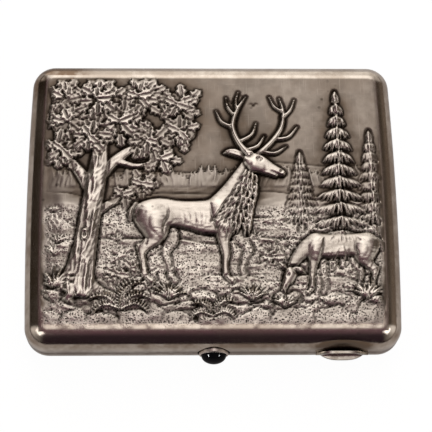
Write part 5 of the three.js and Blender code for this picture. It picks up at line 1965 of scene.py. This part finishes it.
def band_path(node):
    """The middle line of the strip, seen from the front: a loop, the slightly wavy run, a loop."""
    low, high = box_mm(node)
    level = (low[2] + high[2]) / 2
    eye = (high[2] - low[2]) / 2
    half = high[0] - eye
    loop = eye - BAND_THICK / 2
    run = [(x, level + 0.07 * math.sin(0.21 * x + level)) for x in spread(-half + 4.2, half - 4.2, 0.8)]
    right = [(half - 2.8, level - 0.05), (half - 1.5, level - 0.30)]
    right += [(half + loop * math.sin(math.radians(t)), level - loop * math.cos(math.radians(t)))
              for t in range(10, 171, 16)]
    right += [(half - 1.3, level + 0.52), (half - 3.6, level + 0.50)]
    return [(-x, z) for x, z in reversed(right)] + run + right


def raise_ribs(piece, front, wide):
    """Moves the points of the band out and in, so that every cord of the weave stands up."""
    vertices = piece.data.vertices
    places, normals = np.empty(3 * len(vertices)), np.empty(3 * len(vertices))
    vertices.foreach_get("co", places)
    vertices.foreach_get("normal", normals)
    places, normals = places.reshape(-1, 3), normals.reshape(-1, 3)
    from_edge = places[:, 1] / MM - front
    ribs = np.sin(2 * math.pi * from_edge / RIB) - 2.5 * (np.minimum(from_edge, wide - from_edge) < 0.1)
    normals[:, 1] = 0
    places += normals * ribs[:, None] * RIB_RISE * MM
    vertices.foreach_set("co", places.ravel())


def make_band(name, node, body):
    low, high = box_mm(node)
    path = band_path(node)
    wide = high[1] - low[1]
    points = [(x * MM, low[1] * MM, z * MM) for x, z in path]
    piece = add_mesh(name, points, edges=[(k, k + 1) for k in range(len(path) - 1)])
    pick(piece, "EDGE", lambda middle, along: True)
    bpy.ops.mesh.extrude_edges_move(TRANSFORM_OT_translate={"value": (0, wide * MM, 0)})
    bpy.ops.mesh.select_all(action="SELECT")
    bpy.ops.mesh.normals_make_consistent(inside=False)
    bpy.ops.object.mode_set(mode="OBJECT")
    pick(piece, "EDGE", lambda middle, along: abs(along.y) > 0.9)
    bpy.ops.mesh.subdivide(number_cuts=ROWS_ACROSS)
    bpy.ops.object.mode_set(mode="OBJECT")
    use(piece, "SOLIDIFY", thickness=BAND_THICK * MM, offset=0)
    raise_ribs(piece, low[1], wide)
    smooth_shade(piece, 60)
    return finish_piece(piece, body, "elastic", ELASTIC, node)


# %% [markdown]
# A staple is a bit of gilt wire, bent twice: a bar that the band's loop goes round, and two legs soldered to
# the wall. A curve with a round bevel makes the wire, which is then turned into a mesh.

# %% Staples
BEND = 0.5  # the radius of the wire's bends


def make_staple(node, body, side):
    """A wire bent to a staple: a bar along Y and two legs that run out to the wall."""
    low, high = box_mm(node)
    wire = (high[2] - low[2]) / 2
    level = (high[2] + low[2]) / 2
    bar, wall = (low[0] + wire, high[0]) if side > 0 else (high[0] - wire, low[0])
    reach = high[1] - wire
    turns = [math.radians(t) for t in range(0, 91, 15)]
    ring = [(bar + side * BEND * (1 - math.cos(t)), reach - BEND + BEND * math.sin(t)) for t in turns]
    path = [(wall, -reach)] + [(x, -y) for x, y in reversed(ring)] + ring + [(wall, reach)]
    line = bpy.data.curves.new(node + "_look", "CURVE")
    line.dimensions = "3D"
    line.bevel_depth = wire * MM
    line.bevel_resolution = 6
    line.use_fill_caps = True
    run = line.splines.new("POLY")
    run.points.add(len(path) - 1)
    for point, (x, y) in zip(run.points, path):
        point.co = (x * MM, y * MM, level * MM, 1)
    piece = bpy.data.objects.new(node + "_look", line)
    bpy.context.scene.collection.objects.link(piece)
    take_up(piece)
    bpy.ops.object.convert(target="MESH")
    smooth_shade(piece, 50)
    return finish_piece(piece, body, "gilt", GILT, node)


for body in ("base", "lid"):
    make_staple(f"{body}_staple_left", body, -1)
    make_staple(f"{body}_staple_right", body, 1)
    make_band(f"{body}_band_look", f"{body}_band", body)
